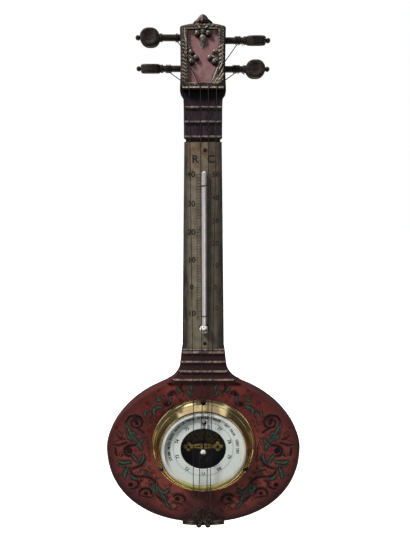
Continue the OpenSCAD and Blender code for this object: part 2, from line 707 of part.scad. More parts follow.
module tube_clips() color("dimgray") wall_frame() translate([0, 0, face]) clip_places() {
    translate([0, 0, tube_h]) rotate([90, 0, 0]) rotate_extrude(angle = 180)
        translate([clip_radius, 0]) circle(r = clip_wire, $fn = 24);
    for (side = [-1, 1]) translate([side * clip_radius, 0, 0]) cylinder(h = tube_h, r = clip_wire);
}

// Bezel, its screws, the glass and the dial
land_radius = bezel_radius - 1.5;
shoulder_radius = bezel_radius - 5;
shoulder_height = 0.42 * bezel_height;
bezel_profile = concat(
    [[case_flange + fitted / 2, 0], [bezel_radius, 0], [bezel_radius, 1], [bezel_radius - 0.2, 1.6],
        [bezel_radius - 0.8, 1.9], [land_radius, 1.9], [land_radius - 0.3, 2.3]],
    [for (s = [0.3, 0.6, 0.85]) [land_radius + s * (shoulder_radius - land_radius),
        1.9 + s * (0.75 + 0.25 * s) * (shoulder_height - 1.9)]],
    [[shoulder_radius, shoulder_height], [shoulder_radius - 0.4, shoulder_height + 0.15],
        [lip_radius + 3.6, 0.7 * bezel_height],
        [lip_radius + 2, bezel_height - 1], [lip_radius + 1.6, bezel_height - 0.35],
        [lip_radius + 1, bezel_height], [lip_radius + 0.3, bezel_height], [lip_radius, bezel_height - 0.3],
        [lip_radius, bezel_height - lip_thickness], [bezel_bore, bezel_height - lip_thickness],
        [bezel_bore, case_flange_thickness + running],
        [case_flange + fitted / 2, case_flange_thickness + running]]);
module bezel_screw_places() {
    for (a = [90, 210, 330]) rotate([0, 0, a]) translate([screw_circle, 0, 0]) children();
}
module bezel() color("gold") wall_frame() translate([0, 0, face]) difference() {
    rotate_extrude($fn = 128) polygon(bezel_profile);
    bezel_screw_places() {
        translate([0, 0, screw_seat]) cylinder(h = through, r = screw_head + fitted / 2);
        translate([0, 0, -1]) cylinder(h = through, r = screw_shank + fitted / 4);
    }
}
module bezel_screws() color("dimgray") wall_frame() bezel_screw_places() translate([0, 0, face]) {
    translate([0, 0, -bezel_shank]) cylinder(h = bezel_shank + screw_seat, r = screw_shank);
    translate([0, 0, screw_seat]) difference() {
        intersection() {
            cylinder(h = 2.6, r = screw_head);
            translate([0, 0, -1]) sphere(r = 3.7);
        }
        rotate([0, 0, 35]) translate([-5, -0.4, 1.6]) cube([10, 0.8, 3]);
    }
}
module glass() color("lightcyan", 0.4) wall_frame() translate([0, 0, face + glass_low]) difference() {
    rotate_extrude($fn = 128) polygon([[0, 0], [stack_radius, 0], [stack_radius, glass_edge],
        [stack_radius - glass_bevel, glass_thickness], [0, glass_thickness]]);
    translate([0, 0, -1]) cylinder(h = 5, r = spindle_radius + running);
}
ring_inner = stack_radius - 2;
module glass_ring() color("gold") wall_frame() translate([0, 0, face + dial_height])
    difference() {
        cylinder(h = glass_low - dial_height, r = stack_radius, $fn = 128);
        translate([0, 0, -1]) cylinder(h = 20, r = ring_inner, $fn = 128);
    }
module dial() color("white") wall_frame() translate([0, 0, face + dial_height - dial_thickness])
    difference() {
        cylinder(h = dial_thickness, r = stack_radius, $fn = 128);
        translate([0, 0, -1]) cylinder(h = 5, r = dial_open, $fn = 128);
    }
module dial_ring() color("goldenrod") wall_frame() translate([0, 0, face + case_flange_thickness])
    difference() {
        cylinder(h = dial_height - dial_thickness - case_flange_thickness, r = stack_radius, $fn = 128);
        translate([0, 0, -1]) cylinder(h = 20, r = ring_inner, $fn = 128);
    }
pointer_length = dial_open + 10.2;
pointer_tail = 13;
hand_length = dial_open + 12.2;
hand_tail = 11;
module pointer() color("midnightblue") wall_frame() translate([0, 0, face + pointer_h]) difference() {
    linear_extrude(blade) {
        circle(r = 2.6);
        polygon([[-0.9, 0], [0.9, 0], [0.35, pointer_length - 3.5], [0, pointer_length],
            [-0.35, pointer_length - 3.5]]);
        polygon([[-0.8, 0], [-1.3, -pointer_tail], [1.3, -pointer_tail], [0.8, 0]]);
    }
    translate([0, 0, -1]) cylinder(h = 4, r = arbor_radius + running / 2);
}
hand_turn = -4;
module set_hand() color("goldenrod") wall_frame() translate([0, 0, face + hand_h]) rotate([0, 0, hand_turn])
    difference() {
        linear_extrude(blade) {
            circle(r = 3);
            polygon([[-0.7, 0], [0.7, 0], [0.5, hand_length - 5.5], [1.5, hand_length - 3.5],
                [0, hand_length], [-1.5, hand_length - 3.5], [-0.5, hand_length - 5.5]]);
            polygon([[-0.6, 0], [-0.6, -hand_tail], [0.6, -hand_tail], [0.6, 0]]);
            translate([0, -hand_tail - 1.5]) circle(r = 2.2);
        }
        translate([0, 0, -1]) cylinder(h = 4, r = spindle_radius + running / 2);
    }
module set_knob() color("goldenrod") wall_frame() translate([0, 0, face]) {
    translate([0, 0, hand_h]) cylinder(h = glass_top + 0.3 - hand_h, r = spindle_radius);
    translate([0, 0, glass_top + 0.15]) rotate_extrude() polygon([[0, 0], [knob_radius * 0.8, 0],
        [knob_radius, 0.4], [knob_radius, knob_height - 0.9], [knob_radius - 0.4, knob_height - 0.3],
        [knob_radius - 1.2, knob_height], [0, knob_height]]);
}

// Movement behind the dial
adjuster_hole = 3.2;
adjuster_shank = 1.5;
module movement_case() color("darkgoldenrod") wall_frame() difference() {
    rotate_extrude($fn = 128) polygon([[0, case_back], [case_radius, case_back], [case_radius, face],
        [case_flange, face], [case_flange, face + case_flange_thickness],
        [case_radius - case_wall, face + case_flange_thickness], [case_radius - case_wall, case_floor],
        [0, case_floor]]);
    translate([0, -adjuster_z, 0]) cylinder(h = 20, r = adjuster_shank + fitted);
}
module base_plate() color("gold") wall_frame() translate([0, 0, case_floor]) difference() {
    cylinder(h = base_thickness, r = base_radius);
    translate([0, -adjuster_z, -1]) cylinder(h = through, r = adjuster_shank + running);
    spring_screw_places() translate([0, 0, -1]) cylinder(h = through, r = 1 + running);
}
base_radius = case_radius - case_wall - 2.4;
post_radius = 2.4;
socket_radius = post_radius + 0.3;
socket_depth = 2.2;
corrugation = 0.4;
module capsule() color("silver") wall_frame() {
    rotate_extrude() polygon(concat(
        [[0, base_top], [5, base_top], [5, capsule_low]],
        [for (r = [7:1:capsule_radius - 2]) [r, capsule_low + corrugation * (1 - cos(90 * (r - 7)))]],
        [[capsule_radius, capsule_low + 1], [capsule_radius, capsule_top - 1]],
        [for (r = [capsule_radius - 2:-1:7]) [r, capsule_top - corrugation * (1 - cos(90 * (r - 7)))]],
        [[socket_radius + 1.7, capsule_top], [socket_radius + 1.3, capsule_top + socket_depth],
            [socket_radius, capsule_top + socket_depth], [socket_radius, capsule_top], [0, capsule_top]]));
}
bridge_back_z = spring_end_z + 3;
bridge_front_z = capsule_radius + 2.5;
clamp_screw_z = bridge_front_z + 2.7;
module spring_bridge() color("gold") wall_frame() difference() {
    union() {
        translate([-spring_half - 2, -bridge_back_z, base_top])
            cube([2 * spring_half + 4, bridge_back_z - bridge_front_z, 2]);
        translate([-spring_half - 2, -bridge_back_z, base_top])
            cube([2 * spring_half + 4, bridge_back_z - spring_end_z - 0.3, spring_top + 0.6 - base_top]);
    }
    spring_screw_places() translate([0, 0, base_top - 1]) cylinder(h = through, r = 1 + running);
}
module spring_screw_places() {
    for (side = [-1, 1]) translate([side * (spring_half - 0.5), -clamp_screw_z, 0]) children();
}
module spring_screws() color("dimgray") wall_frame() spring_screw_places() {
    translate([0, 0, case_floor + 0.2]) cylinder(h = base_top + 2 - case_floor - 0.2, r = 1);
    translate([0, 0, base_top + 2]) cylinder(h = 1.2, r = 1.9);
}
module mainspring() color("steelblue") wall_frame() {
    translate([-spring_half, -spring_end_z, spring_low])
        cube([2 * spring_half, spring_end_z + 5, spring_thickness]);
    translate([0, 0, capsule_top + 1.1]) cylinder(h = spring_low - capsule_top - 1, r = post_radius);
}
lever_z = 4.5;
lever_width = 4;
module main_lever() color("goldenrod") wall_frame()
    translate([-spring_half, -lever_z - lever_width / 2, spring_top])
        cube([rocker_x - crank_arm + 0.3 + spring_half, lever_width, 1]);
pillar_radius = case_radius - 10;
module pillars() color("gold") wall_frame()
    for (a = [45:90:315]) rotate([0, 0, a]) translate([pillar_radius, 0, base_top])
        cylinder(h = top_plate_low - base_top, r = 2.5);
arm_half = 0.8;
pointer_swing = 150;
arm_swing = chain_arm * sin(pointer_swing * chain_drum / chain_arm);
module top_plate() color("black") wall_frame() translate([0, 0, top_plate_low]) difference() {
    cylinder(h = top_plate_thickness, r = pillar_radius + 4);
    translate([0, 0, -1]) cylinder(h = through, r = arbor_radius + running);
    translate([rocker_x - arm_swing - 1, chain_z - 1.4, -1]) cube([2 * arm_swing + 2, 2.8, 9]);
}
module shaft_cocks() color("gold") wall_frame() for (side = [-1, 1])
    translate([rocker_x, side * cock_z, 0]) difference() {
        translate([-1.8, -1, rocker_out - 1.8]) cube([3.6, 2, top_plate_low - rocker_out + 1.8]);
        translate([0, -2, rocker_out]) rotate([-90, 0, 0]) cylinder(h = 4, r = shaft_radius + running);
    }
module rocking_shaft() color("silver") wall_frame() translate([rocker_x, 0, rocker_out]) {
    translate([0, -shaft_half, 0]) rotate([-90, 0, 0]) cylinder(h = 2 * shaft_half, r = shaft_radius);
    translate([-arm_half, chain_z - 0.6, 0]) cube([2 * arm_half, 1.2, chain_arm + 0.8]);
    translate([-crank_arm, -lever_z - 1, -0.4]) cube([crank_arm, 2, 0.8]);
    translate([-crank_arm, -lever_z - lever_width / 2, 0]) rotate([-90, 0, 0])
        cylinder(h = lever_width, r = 0.6);
}
module pointer_arbor() color("silver") wall_frame() {
    translate([0, 0, top_plate_low + 0.1])
        cylinder(h = face + pointer_h + blade + 0.3 - top_plate_low, r = arbor_radius);
    translate([0, 0, top_plate_top + 0.7]) cylinder(h = 0.8, r = hair_inner - hair_wide / 2 - 0.3);
    translate([0, 0, chain_out - 0.8]) cylinder(h = 1.6, r = chain_drum);
    translate([0, 0, chain_out + 0.8]) cylinder(h = 0.3, r = chain_drum + 0.6);
}
module chain() color("silver") wall_frame() translate([0, chain_z, chain_out]) rotate([0, 90, 0])
    cylinder(h = rocker_x - arm_half - 0.05, r = chain_radius);
hair_turns = 4;
hair_inner = 1.9;
hair_outer = 5.6;
hair_wide = 0.25;
function hair(a, side) =
    let (r = hair_inner + (hair_outer - hair_inner) * a / (360 * hair_turns + 180) + side * hair_wide / 2)
    [r * cos(a), r * sin(a)];
module hairspring() color("steelblue") wall_frame() translate([0, 0, top_plate_top]) {
    translate([0, 0, 0.7]) linear_extrude(0.8) polygon(concat(
        [for (a = [0:15:360 * hair_turns + 180]) hair(a, 1)],
        [for (a = [360 * hair_turns + 180:-15:0]) hair(a, -1)]));
    translate([-hair_outer - 0.3, 0, 0]) cylinder(h = 1.8, r = 0.6);
}
lobe_radius = 2.5;
// Each lobe's two bars run to both sides of the hub
hub_radius = 3.2;
bar_spread = 2.8;
bar_start = 2.6;
bar_width = 1.4;
bar_tilt = asin(bar_spread / bridge_reach);
module bridge_shape() {
    for (side = [-1, 1]) translate([side * bridge_reach, 0]) {
        for (a = [0:90:270]) rotate(a) translate([3.6, 0]) circle(r = lobe_radius);
        circle(r = 3);
        for (tilt = [-bar_tilt, bar_tilt]) rotate(side > 0 ? 180 + tilt : tilt)
            translate([bar_start, -bar_width / 2]) square([bridge_reach - bar_start - 1.8, bar_width]);
    }
    circle(r = hub_radius);
}
module arbor_bridge() color("gold") wall_frame() difference() {
    union() {
        translate([0, 0, bridge_out]) linear_extrude(bridge_thickness) bridge_shape();
        for (side = [-1, 1]) translate([side * bridge_reach, 0, top_plate_top])
            cylinder(h = bridge_out - top_plate_top, r = 2.2);
    }
    translate([0, 0, bridge_out - 1]) cylinder(h = through, r = arbor_radius + running);
    bridge_screw_places() translate([0, 0, top_plate_top + 1]) cylinder(h = 20, r = 0.9 + running);
}
module bridge_screw_places() {
    for (side = [-1, 1]) translate([side * bridge_reach, 0, 0]) children();
}
module bridge_screws() color("midnightblue") wall_frame() bridge_screw_places() {
    translate([0, 0, top_plate_top + 1.2])
        cylinder(h = bridge_out + bridge_thickness - top_plate_top - 1.2, r = 0.9);
    translate([0, 0, bridge_out + bridge_thickness]) cylinder(h = 1, r = 1.7);
}
module adjusting_screw() color("silver") wall_frame() translate([0, -adjuster_z, 0]) {
    translate([0, 0, case_back - 1.8]) difference() {
        cylinder(h = 1.75, r = 2.8);
        translate([-4, -0.35, -1]) cube([8, 0.7, 1.8]);
    }
    translate([0, 0, case_back - 0.5]) cylinder(h = base_top - case_back + 0.45, r = adjuster_shank);
}

// Hanging plate on the back of the head
module hanger_screw_places() {
    for (side = [-1, 1]) translate([0, hanger_z + side * hanger_screw_z, 0]) children();
}
module hanger_plate() color("gold") wall_frame()
    translate([0, 0, head_back - hanger_thickness]) difference() {
        translate([-hanger_half, hanger_z - hanger_height / 2, 0])
            cube([2 * hanger_half, hanger_height, hanger_thickness]);
        translate([0, hanger_z, -1]) cylinder(h = 5, r = hanger_hole);
        hanger_screw_places() translate([0, 0, -1]) cylinder(h = 5, r = 1 + fitted / 4);
    }
module hanger_screws() color("gold") wall_frame() hanger_screw_places() {
    translate([0, 0, head_back - hanger_thickness]) cylinder(h = hanger_thickness + 7, r = 1);
    translate([0, 0, head_back - hanger_thickness - 1]) cylinder(h = 1, r = 2.2);
}

body_shell();
neck_foot_section();
foot_ridges();
neck_core();
neck_top_section();
top_ridges();
head_block();
head_frame();
head_panel();
top_cluster();
side_clusters();
finial();
nut();
peg_left_upper();
peg_right_upper();
peg_left_lower();
peg_right_lower();
winding_left_upper();
winding_right_upper();
winding_left_lower();
winding_right_lower();
string_1();
string_2();
string_3();
string_4();
tailpiece();
string_pins();
scale_plate();
scale_screws();
thermometer_tube();
mercury();
tube_clips();
bezel();
bezel_screws();
glass();
glass_ring();
dial();
dial_ring();
movement_case();
base_plate();
capsule();
spring_bridge();
spring_screws();
mainspring();
main_lever();
pillars();
top_plate();
shaft_cocks();
rocking_shaft();
pointer_arbor();
chain();
hairspring();
arbor_bridge();
bridge_screws();
pointer();
set_hand();
set_knob();
adjusting_screw();
hanger_plate();
hanger_screws();
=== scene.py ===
# %% [markdown]
# This scene dresses a wall barometer in the form of a long-necked lute. A red lacquered body holds
# an aneroid barometer in a brass bezel, the neck carries a thermometer, and four strings run from
# the pegs to the tailpiece. The measured model comes in as a fixed frame, so every new surface is
# placed by asking the frame where its neighbour is. Lengths are metres, and MM turns millimetres
# into them.

# %% Load the frame
import json
import math
import random

import bmesh
import bpy
from mathutils import Matrix, Vector
from mathutils.bvhtree import BVHTree


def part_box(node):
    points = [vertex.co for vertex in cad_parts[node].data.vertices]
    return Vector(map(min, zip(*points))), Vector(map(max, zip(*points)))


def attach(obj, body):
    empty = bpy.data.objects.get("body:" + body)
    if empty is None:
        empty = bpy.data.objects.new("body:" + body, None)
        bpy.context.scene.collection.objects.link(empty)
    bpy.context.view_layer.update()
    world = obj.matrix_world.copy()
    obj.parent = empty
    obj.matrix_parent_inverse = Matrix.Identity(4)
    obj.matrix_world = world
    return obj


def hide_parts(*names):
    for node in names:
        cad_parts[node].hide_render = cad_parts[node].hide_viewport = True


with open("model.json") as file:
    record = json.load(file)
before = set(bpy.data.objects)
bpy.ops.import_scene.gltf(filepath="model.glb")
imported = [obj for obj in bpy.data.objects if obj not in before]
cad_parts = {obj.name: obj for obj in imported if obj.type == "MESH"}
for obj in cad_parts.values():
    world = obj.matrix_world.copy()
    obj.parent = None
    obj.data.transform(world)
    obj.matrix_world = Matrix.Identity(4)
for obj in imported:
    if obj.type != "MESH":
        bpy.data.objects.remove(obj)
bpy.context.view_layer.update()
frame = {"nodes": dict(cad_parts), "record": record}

MM = 0.001
face_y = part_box("body_shell")[0].y
print(f"{len(frame['nodes'])} nodes, front face {-face_y / MM:.1f} mm out of the wall")

# %% [markdown]
# The photograph was taken from about half a metre before the dial, from a little above it. The
# camera looks down by 11 degrees, and its lens is short, so the head looks larger than the body
# would from afar.

# %% The camera
CAMERA_PLACE = Vector((2.1, -485, 301)) * MM
LOOK_DOWN = 11
LENS, SENSOR = 27.05, 36
lens = bpy.data.cameras.new("camera")
lens.lens = LENS
lens.sensor_width = SENSOR
lens.clip_start = 0.01
camera = bpy.data.objects.new("camera", lens)
camera.location = CAMERA_PLACE
camera.rotation_euler = (math.radians(90 - LOOK_DOWN), 0, 0)
bpy.context.scene.collection.objects.link(camera)
bpy.context.scene.camera = camera
bpy.context.scene.view_settings.view_transform = "Standard"
print(f"camera {-CAMERA_PLACE.y:.3f} m before the wall, looking down by {LOOK_DOWN} degrees")

# %% [markdown]
# A studio hangs such an instrument before white paper. Here the world and the floor are white where
# the camera sees them, and also in gloss and through glass. For every other ray they give only a
# dim, even light, so that the lacquer stays deep and shadows stay dark. A ray that has already
# bounced off the dial and then meets the glass counts as one of those, or the dial would be lit
# twice. The helpers wire up the nodes that tell these rays apart.

# %% Helpers for the surroundings
def wired(tree, kind, *values, **settings):
    """A new node whose first inputs are linked to the values. It gives its first output."""
    made = tree.nodes.new("ShaderNode" + kind)
    for key, value in settings.items():
        setattr(made, key, value)
    for socket, value in zip(made.inputs, values):
        tree.links.new(value, socket)
    return made.outputs[0] if made.outputs else None


def unbounced(tree):
    """1 for a ray that hasn't bounced off a dull surface yet."""
    path = tree.nodes.new("ShaderNodeLightPath").outputs
    return wired(tree, "Math", path["Diffuse Depth"], operation="LESS_THAN")


def seen_as_it_is(tree):
    """1 for a ray of the camera, of gloss or through glass, before it bounces off a dull surface."""
    path = tree.nodes.new("ShaderNodeLightPath").outputs
    seen = path["Is Camera Ray"]
    for ray in ("Is Glossy Ray", "Is Transmission Ray"):
        seen = wired(tree, "Math", seen, path[ray], operation="MAXIMUM")
    return wired(tree, "Math", seen, unbounced(tree), operation="MULTIPLY")


def sheet(name, wide, tall, place, aim):
    """A flat sheet of the studio, facing a point."""
    shape = bmesh.new()
    turned = (Vector(aim) - Vector(place)).to_track_quat("Z", "Y").to_matrix().to_4x4()
    bmesh.ops.create_grid(shape, x_segments=1, y_segments=1, size=0.5,
        matrix=Matrix.Translation(place) @ turned @ Matrix.Diagonal((wide, tall, 1, 1)))
    mesh = bpy.data.meshes.new(name)
    shape.to_mesh(mesh)
    shape.free()
    made = bpy.data.objects.new(name, mesh)
    bpy.context.scene.collection.objects.link(made)
    return made


print("helpers for the surroundings ready")

# %% White surroundings
EVEN_LIGHT = 0.3
FLOOR, FLOOR_SIZE = -0.32, 12
PAPER_SHADE, PAPER_GLOW = 0.86, 0.85

world = bpy.data.worlds.new("studio")
bpy.context.scene.world = world
world.use_nodes = True
tree = world.node_tree
tree.nodes.clear()
dim, white = (tree.nodes.new("ShaderNodeBackground") for _ in range(2))
for sky, strength in ((dim, EVEN_LIGHT), (white, 1.0)):
    sky.inputs["Color"].default_value = (1, 1, 1, 1)
    sky.inputs["Strength"].default_value = strength
wired(tree, "OutputWorld", wired(tree, "MixShader", seen_as_it_is(tree), dim.outputs[0], white.outputs[0]))

floor = sheet("floor", FLOOR_SIZE, FLOOR_SIZE, (0, 0, FLOOR), (0, 0, 1))
floor_paper = bpy.data.materials.new("floor_paper")
floor_paper.use_nodes = True
tree = floor_paper.node_tree
paper, dull_paper = tree.nodes["Principled BSDF"], tree.nodes.new("ShaderNodeBsdfPrincipled")
for surface, shade in ((paper, PAPER_SHADE), (dull_paper, EVEN_LIGHT)):
    surface.inputs["Base Color"].default_value = (shade, shade, shade, 1)
    surface.inputs["Roughness"].default_value = 0.9
paper_glow = tree.nodes.new("ShaderNodeEmission")
paper_glow.inputs["Strength"].default_value = PAPER_GLOW
bright_paper = wired(tree, "AddShader", paper.outputs[0], paper_glow.outputs[0])
both_papers = wired(tree, "MixShader", seen_as_it_is(tree), dull_paper.outputs[0], bright_paper)
tree.links.new(both_papers, tree.nodes["Material Output"].inputs[0])
floor.data.materials.append(floor_paper)
print("white surroundings ready")

# %% [markdown]
# One soft box stands high up at the left, and is small enough for clear shadows. It makes the
# crescent that the bezel throws on the dial, the dark line under each ridge of the neck, and the
# shade under the frame's upper rail. A weak box at the right keeps those shadows open, and one more
# lights the back.

# %% Soft boxes
def soft_box(name, place, aim, size, power):
    """A square area lamp at one point, facing another. The metal mirrors cards in its stead."""
    data = bpy.data.lights.new(name, "AREA")
    data.size = size
    data.energy = power
    lamp = bpy.data.objects.new(name, data)
    lamp.location = place
    lamp.rotation_euler = (Vector(aim) - Vector(place)).to_track_quat("-Z", "Y").to_euler()
    lamp.visible_glossy = lamp.visible_transmission = False
    bpy.context.scene.collection.objects.link(lamp)
    return lamp


HALF_WAY_UP = (0, 0, 0.17)
# Name, place, aim, size and power
boxes = [soft_box("key_box", (-1.15, -0.85, 1.9), HALF_WAY_UP, 0.4, 96),
    soft_box("fill_box", (0.7, -1.1, 0.1), HALF_WAY_UP, 0.9, 2.5),
    soft_box("back_box", (0, 1.2, 0.5), HALF_WAY_UP, 0.8, 6)]
print("soft boxes:", len(boxes))

# %% [markdown]
# Polished brass shows what stands round it. A photographer puts cards there, or the metal turns
# out as white as the paper. These cards are seen only in reflections: dark ones behind the camera
# and on the floor in front, grey ones at both sides, behind the wall and high up, light ones
# straight above, and warm ones low down, which give the bezel its gold. A bright one stands where
# the main lamp shines from, so that the metal has its highlight without glare, and a small bright
# one low at the left lights the lower edge of the bezel.

# %% Grey cards
ON_FLOOR = FLOOR + 0.01
# Wide, tall, place, aim, strength and tint of each card
CARDS = {
    "card_front": (1.9, 1.9, (0, -1.15, 0.35), (0, 0, 0.35), 0.035, (1, 1, 1)),
    "card_high": (2.9, 1.0, (-0.25, -0.8, 1.3), (0, 0, 0.2), 0.10, (1, 0.88, 0.75)),
    "card_above": (0.9, 0.7, (-0.6, -0.02, 1.25), (0, 0, 0), 0.80, (1, 0.94, 1.0)),
    "card_above_right": (1.1, 0.7, (0.42, -0.1, 1.3), (0, 0, 0), 0.43, (1, 0.92, 1.0)),
    "card_floor": (1.1, 1.1, (0, -0.62, ON_FLOOR), (0, -0.62, 1), 0.05, (1, 1, 1)),
    "card_below": (0.9, 1.0, (0, 0.43, ON_FLOOR), (0, 0.43, 1), 1.9, (1, 0.88, 0.5)),
    "card_below_left": (1.3, 1.0, (-1.1, 0.43, ON_FLOOR), (-1.1, 0.43, 1), 0.13, (1, 0.8, 0.5)),
    "card_below_right": (1.3, 1.0, (1.1, 0.43, ON_FLOOR), (1.1, 0.43, 1), 0.13, (1, 0.8, 0.5)),
    "card_behind": (4.0, 2.6, (0, 1.0, 1.0), (0, 0, 1.0), 0.10, (1, 0.97, 0.95)),
    "card_low_left": (1.1, 1.4, (-1.1, -0.77, ON_FLOOR), (-1.1, -0.77, 1), 0.42, (1, 0.84, 0.5)),
    "card_low_right": (1.1, 1.4, (1.1, -0.77, ON_FLOOR), (1.1, -0.77, 1), 0.26, (1, 0.82, 0.5)),
    "card_left": (1.6, 1.5, (-1.5, -0.4, 0.4), (0, -0.4, 0.3), 0.10, (1, 0.95, 0.85)),
    "card_right": (1.6, 1.7, (1.5, -0.4, 0.5), (0, -0.4, 0.3), 0.06, (1, 0.9, 0.8)),
    "card_window": (0.16, 0.22, (-0.62, -0.98, -0.12), (0, 0, 0.02), 3.0, (1, 1, 1)),
    "card_key": (0.34, 0.34, (-0.66, -0.58, 1.29), (0, 0, 0.1), 2.8, (1, 0.98, 0.95)),
}
for name, (wide, tall, stands, aim, level, tint) in CARDS.items():
    card = sheet(name, wide, tall, stands, aim)
    card_paper = bpy.data.materials.new(name)
    card_paper.use_nodes = True
    tree = card_paper.node_tree
    tree.nodes.clear()
    light = tree.nodes.new("ShaderNodeEmission")
    light.inputs["Color"].default_value = (*tint, 1)
    light.inputs["Strength"].default_value = level
    absent = wired(tree, "BsdfTransparent")
    wired(tree, "OutputMaterial", wired(tree, "MixShader", unbounced(tree), absent, light.outputs[0]))
    card.data.materials.append(card_paper)
    card.visible_camera = card.visible_diffuse = card.visible_shadow = False
print("cards:", len(CARDS))

# %% [markdown]
# Every finish starts from one shader. The helpers below keep the node trees short to read: one
# starts a finish, one adds a node and plugs it in, one makes a cloudy pattern of a real size, and
# some turn a pattern into colours, spots or dents. Patterns read Object coordinates, so they stay
# put on the piece from every side.

# %% Helpers for finishes
def shader_of(material):
    return material.node_tree.nodes["Principled BSDF"]


def start_finish(name, color, roughness, metallic=0.0, **sockets):
    """A material with plain settings on its shader's own sockets."""
    material = bpy.data.materials.new(name)
    material.use_nodes = True
    settings = {"Base_Color": (*color, 1), "Roughness": roughness, "Metallic": metallic, **sockets}
    for socket, value in settings.items():
        shader_of(material).inputs[socket.replace("_", " ")].default_value = value
    return material


def plug(material, socket, value):
    """Link one input of the material's shader."""
    material.node_tree.links.new(value, shader_of(material).inputs[socket])


def add(material, kind, inputs=None, **settings):
    """A new node. An input given as a socket is linked, and any other value is set."""
    made = material.node_tree.nodes.new("ShaderNode" + kind)
    for key, value in settings.items():
        setattr(made, key, value)
    for key, value in (inputs or {}).items():
        if isinstance(value, bpy.types.NodeSocket):
            material.node_tree.links.new(value, made.inputs[key])
        else:
            made.inputs[key].default_value = value
    return made


def place(material, stretch=(1, 1, 1)):
    """Object coordinates, stretched along the piece's axes."""
    at = add(material, "TexCoord").outputs["Object"]
    return add(material, "Mapping", {"Vector": at, "Scale": stretch}).outputs[0]


def cloud(material, size_mm, detail=3.0, stretch=(1, 1, 1), roughness=0.55):
    """Soft noise whose patches are about size_mm across."""
    return add(material, "TexNoise", {"Vector": place(material, stretch), "Scale": 1 / (size_mm * MM),
        "Detail": detail, "Roughness": roughness}).outputs[0]


def tones(material, factor, *stops):
    """A colour ramp. Each stop is a position and a colour."""
    ramp = add(material, "ValToRGB", {"Fac": factor})
    elements = ramp.color_ramp.elements
    while len(elements) < len(stops):
        elements.new(0.5)
    for element, (position, color) in zip(elements, stops):
        element.position = position
        element.color = (*color, 1)
    return ramp.outputs[0]


def spots(material, pattern, low, high, most=1, least=0):
    """Patches that grow from least to most while a pattern rises from low to high."""
    return tones(material, pattern, (low, (least,) * 3), (high, (most,) * 3))


def mix(material, factor, first, second):
    """Blend two colours by a factor."""
    return add(material, "Mix", {0: factor, 6: first, 7: second}, data_type="RGBA").outputs[2]


def raise_by(material, height, depth_mm):
    """Bump from a pattern, with its real depth."""
    bump = add(material, "Bump", {"Height": height, "Distance": depth_mm * MM, "Strength": 1.0})
    plug(material, "Normal", bump.outputs[0])


def worn(name, low, high, roughness, metallic, size_mm, dents_mm=0.03, spread=0.12, **sockets):
    """A finish whose tone and gloss drift from patch to patch, with fine dents."""
    material = start_finish(name, high, roughness, metallic, **sockets)
    patches = cloud(material, size_mm, 5)
    plug(material, "Base Color", tones(material, patches, (0.35, low), (0.65, high)))
    rough = add(material, "MapRange", {"Value": patches, "From Min": 0.35, "From Max": 0.65,
        "To Min": roughness + spread, "To Max": roughness - spread / 2})
    plug(material, "Roughness", rough.outputs[0])
    raise_by(material, cloud(material, size_mm / 6, 3), dents_mm)
    return material


print("finish helpers ready")

# %% [markdown]
# Age doesn't wear a piece evenly, and painted light and shade don't lie evenly either: both depend
# on where a spot lies and which way it faces, so a few more helpers read the Object coordinates and
# the normal, and turn them into soft steps from 0 to 1.

# %% Helpers for where a finish changes
def axis(material, name):
    """One of the Object coordinates, in metres."""
    return add(material, "SeparateXYZ", {"Vector": place(material)}).outputs[name]


def steps(material, value, low, high):
    """0 at low, 1 at high, and a soft step between them. Low may be the larger one."""
    return add(material, "MapRange", {"Value": value, "From Min": low, "From Max": high},
        interpolation_type="SMOOTHSTEP").outputs[0]


def side_of(material):
    """Distance from the middle, in metres."""
    return add(material, "Math", {0: axis(material, "X")}, operation="ABSOLUTE").outputs[0]


def times(material, first, second):
    return add(material, "Math", {0: first, 1: second}, operation="MULTIPLY").outputs[0]


def facing(material, way, low, high):
    """1 where the piece faces a direction, and a soft step down to 0 where it turns away."""
    normal = add(material, "TexCoord").outputs["Normal"]
    toward = add(material, "VectorMath", {0: normal, 1: way}, operation="DOT_PRODUCT").outputs["Value"]
    return steps(material, toward, low, high)


def lay_over(material, amount, color):
    """Cover the finish's own colour by an amount."""
    own = shader_of(material).inputs["Base Color"].links[0].from_socket
    plug(material, "Base Color", mix(material, amount, own, (*color, 1)))


print("helpers for places ready")

# %% [markdown]
# The lacquer of the body is a deep brick red over dark ground. Age has clouded it: it is browner
# near the neck and redder low down, it is darker towards the rim, and tiny chips show the ground.
# A darker band runs down the middle behind the strings. Below the bezel and round the tailpiece
# the red is darker still: painted shade of the bezel and the tailpiece, mixed with grime. Object
# coordinates give the distance from the dial and from the strings, which places all this without
# any picture.

# %% Red lacquer
HALF_WIDE, HALF_TALL, BODY_SINKS = 0.118, 0.1, 0.006

red_lacquer = start_finish("red_lacquer", (0.10, 0.017, 0.014), 0.42, Coat_Weight=0.08,
    Coat_Roughness=0.3, Specular_IOR_Level=0.25)
clouds = cloud(red_lacquer, 26, 6, roughness=0.6)
upper_red = tones(red_lacquer, clouds, (0.3, (0.068, 0.013, 0.011)), (0.5, (0.096, 0.017, 0.014)),
    (0.7, (0.116, 0.021, 0.017)))
lower_red = tones(red_lacquer, clouds, (0.3, (0.105, 0.022, 0.018)), (0.5, (0.150, 0.033, 0.026)),
    (0.7, (0.185, 0.046, 0.036)))
height = axis(red_lacquer, "Z")
lower_down = steps(red_lacquer, height, 0.07, -0.06)
plug(red_lacquer, "Base Color", mix(red_lacquer, lower_down, upper_red, lower_red))

lay_over(red_lacquer, spots(red_lacquer, cloud(red_lacquer, 1.6, 2), 0.66, 0.72), (0.04, 0.012, 0.012))

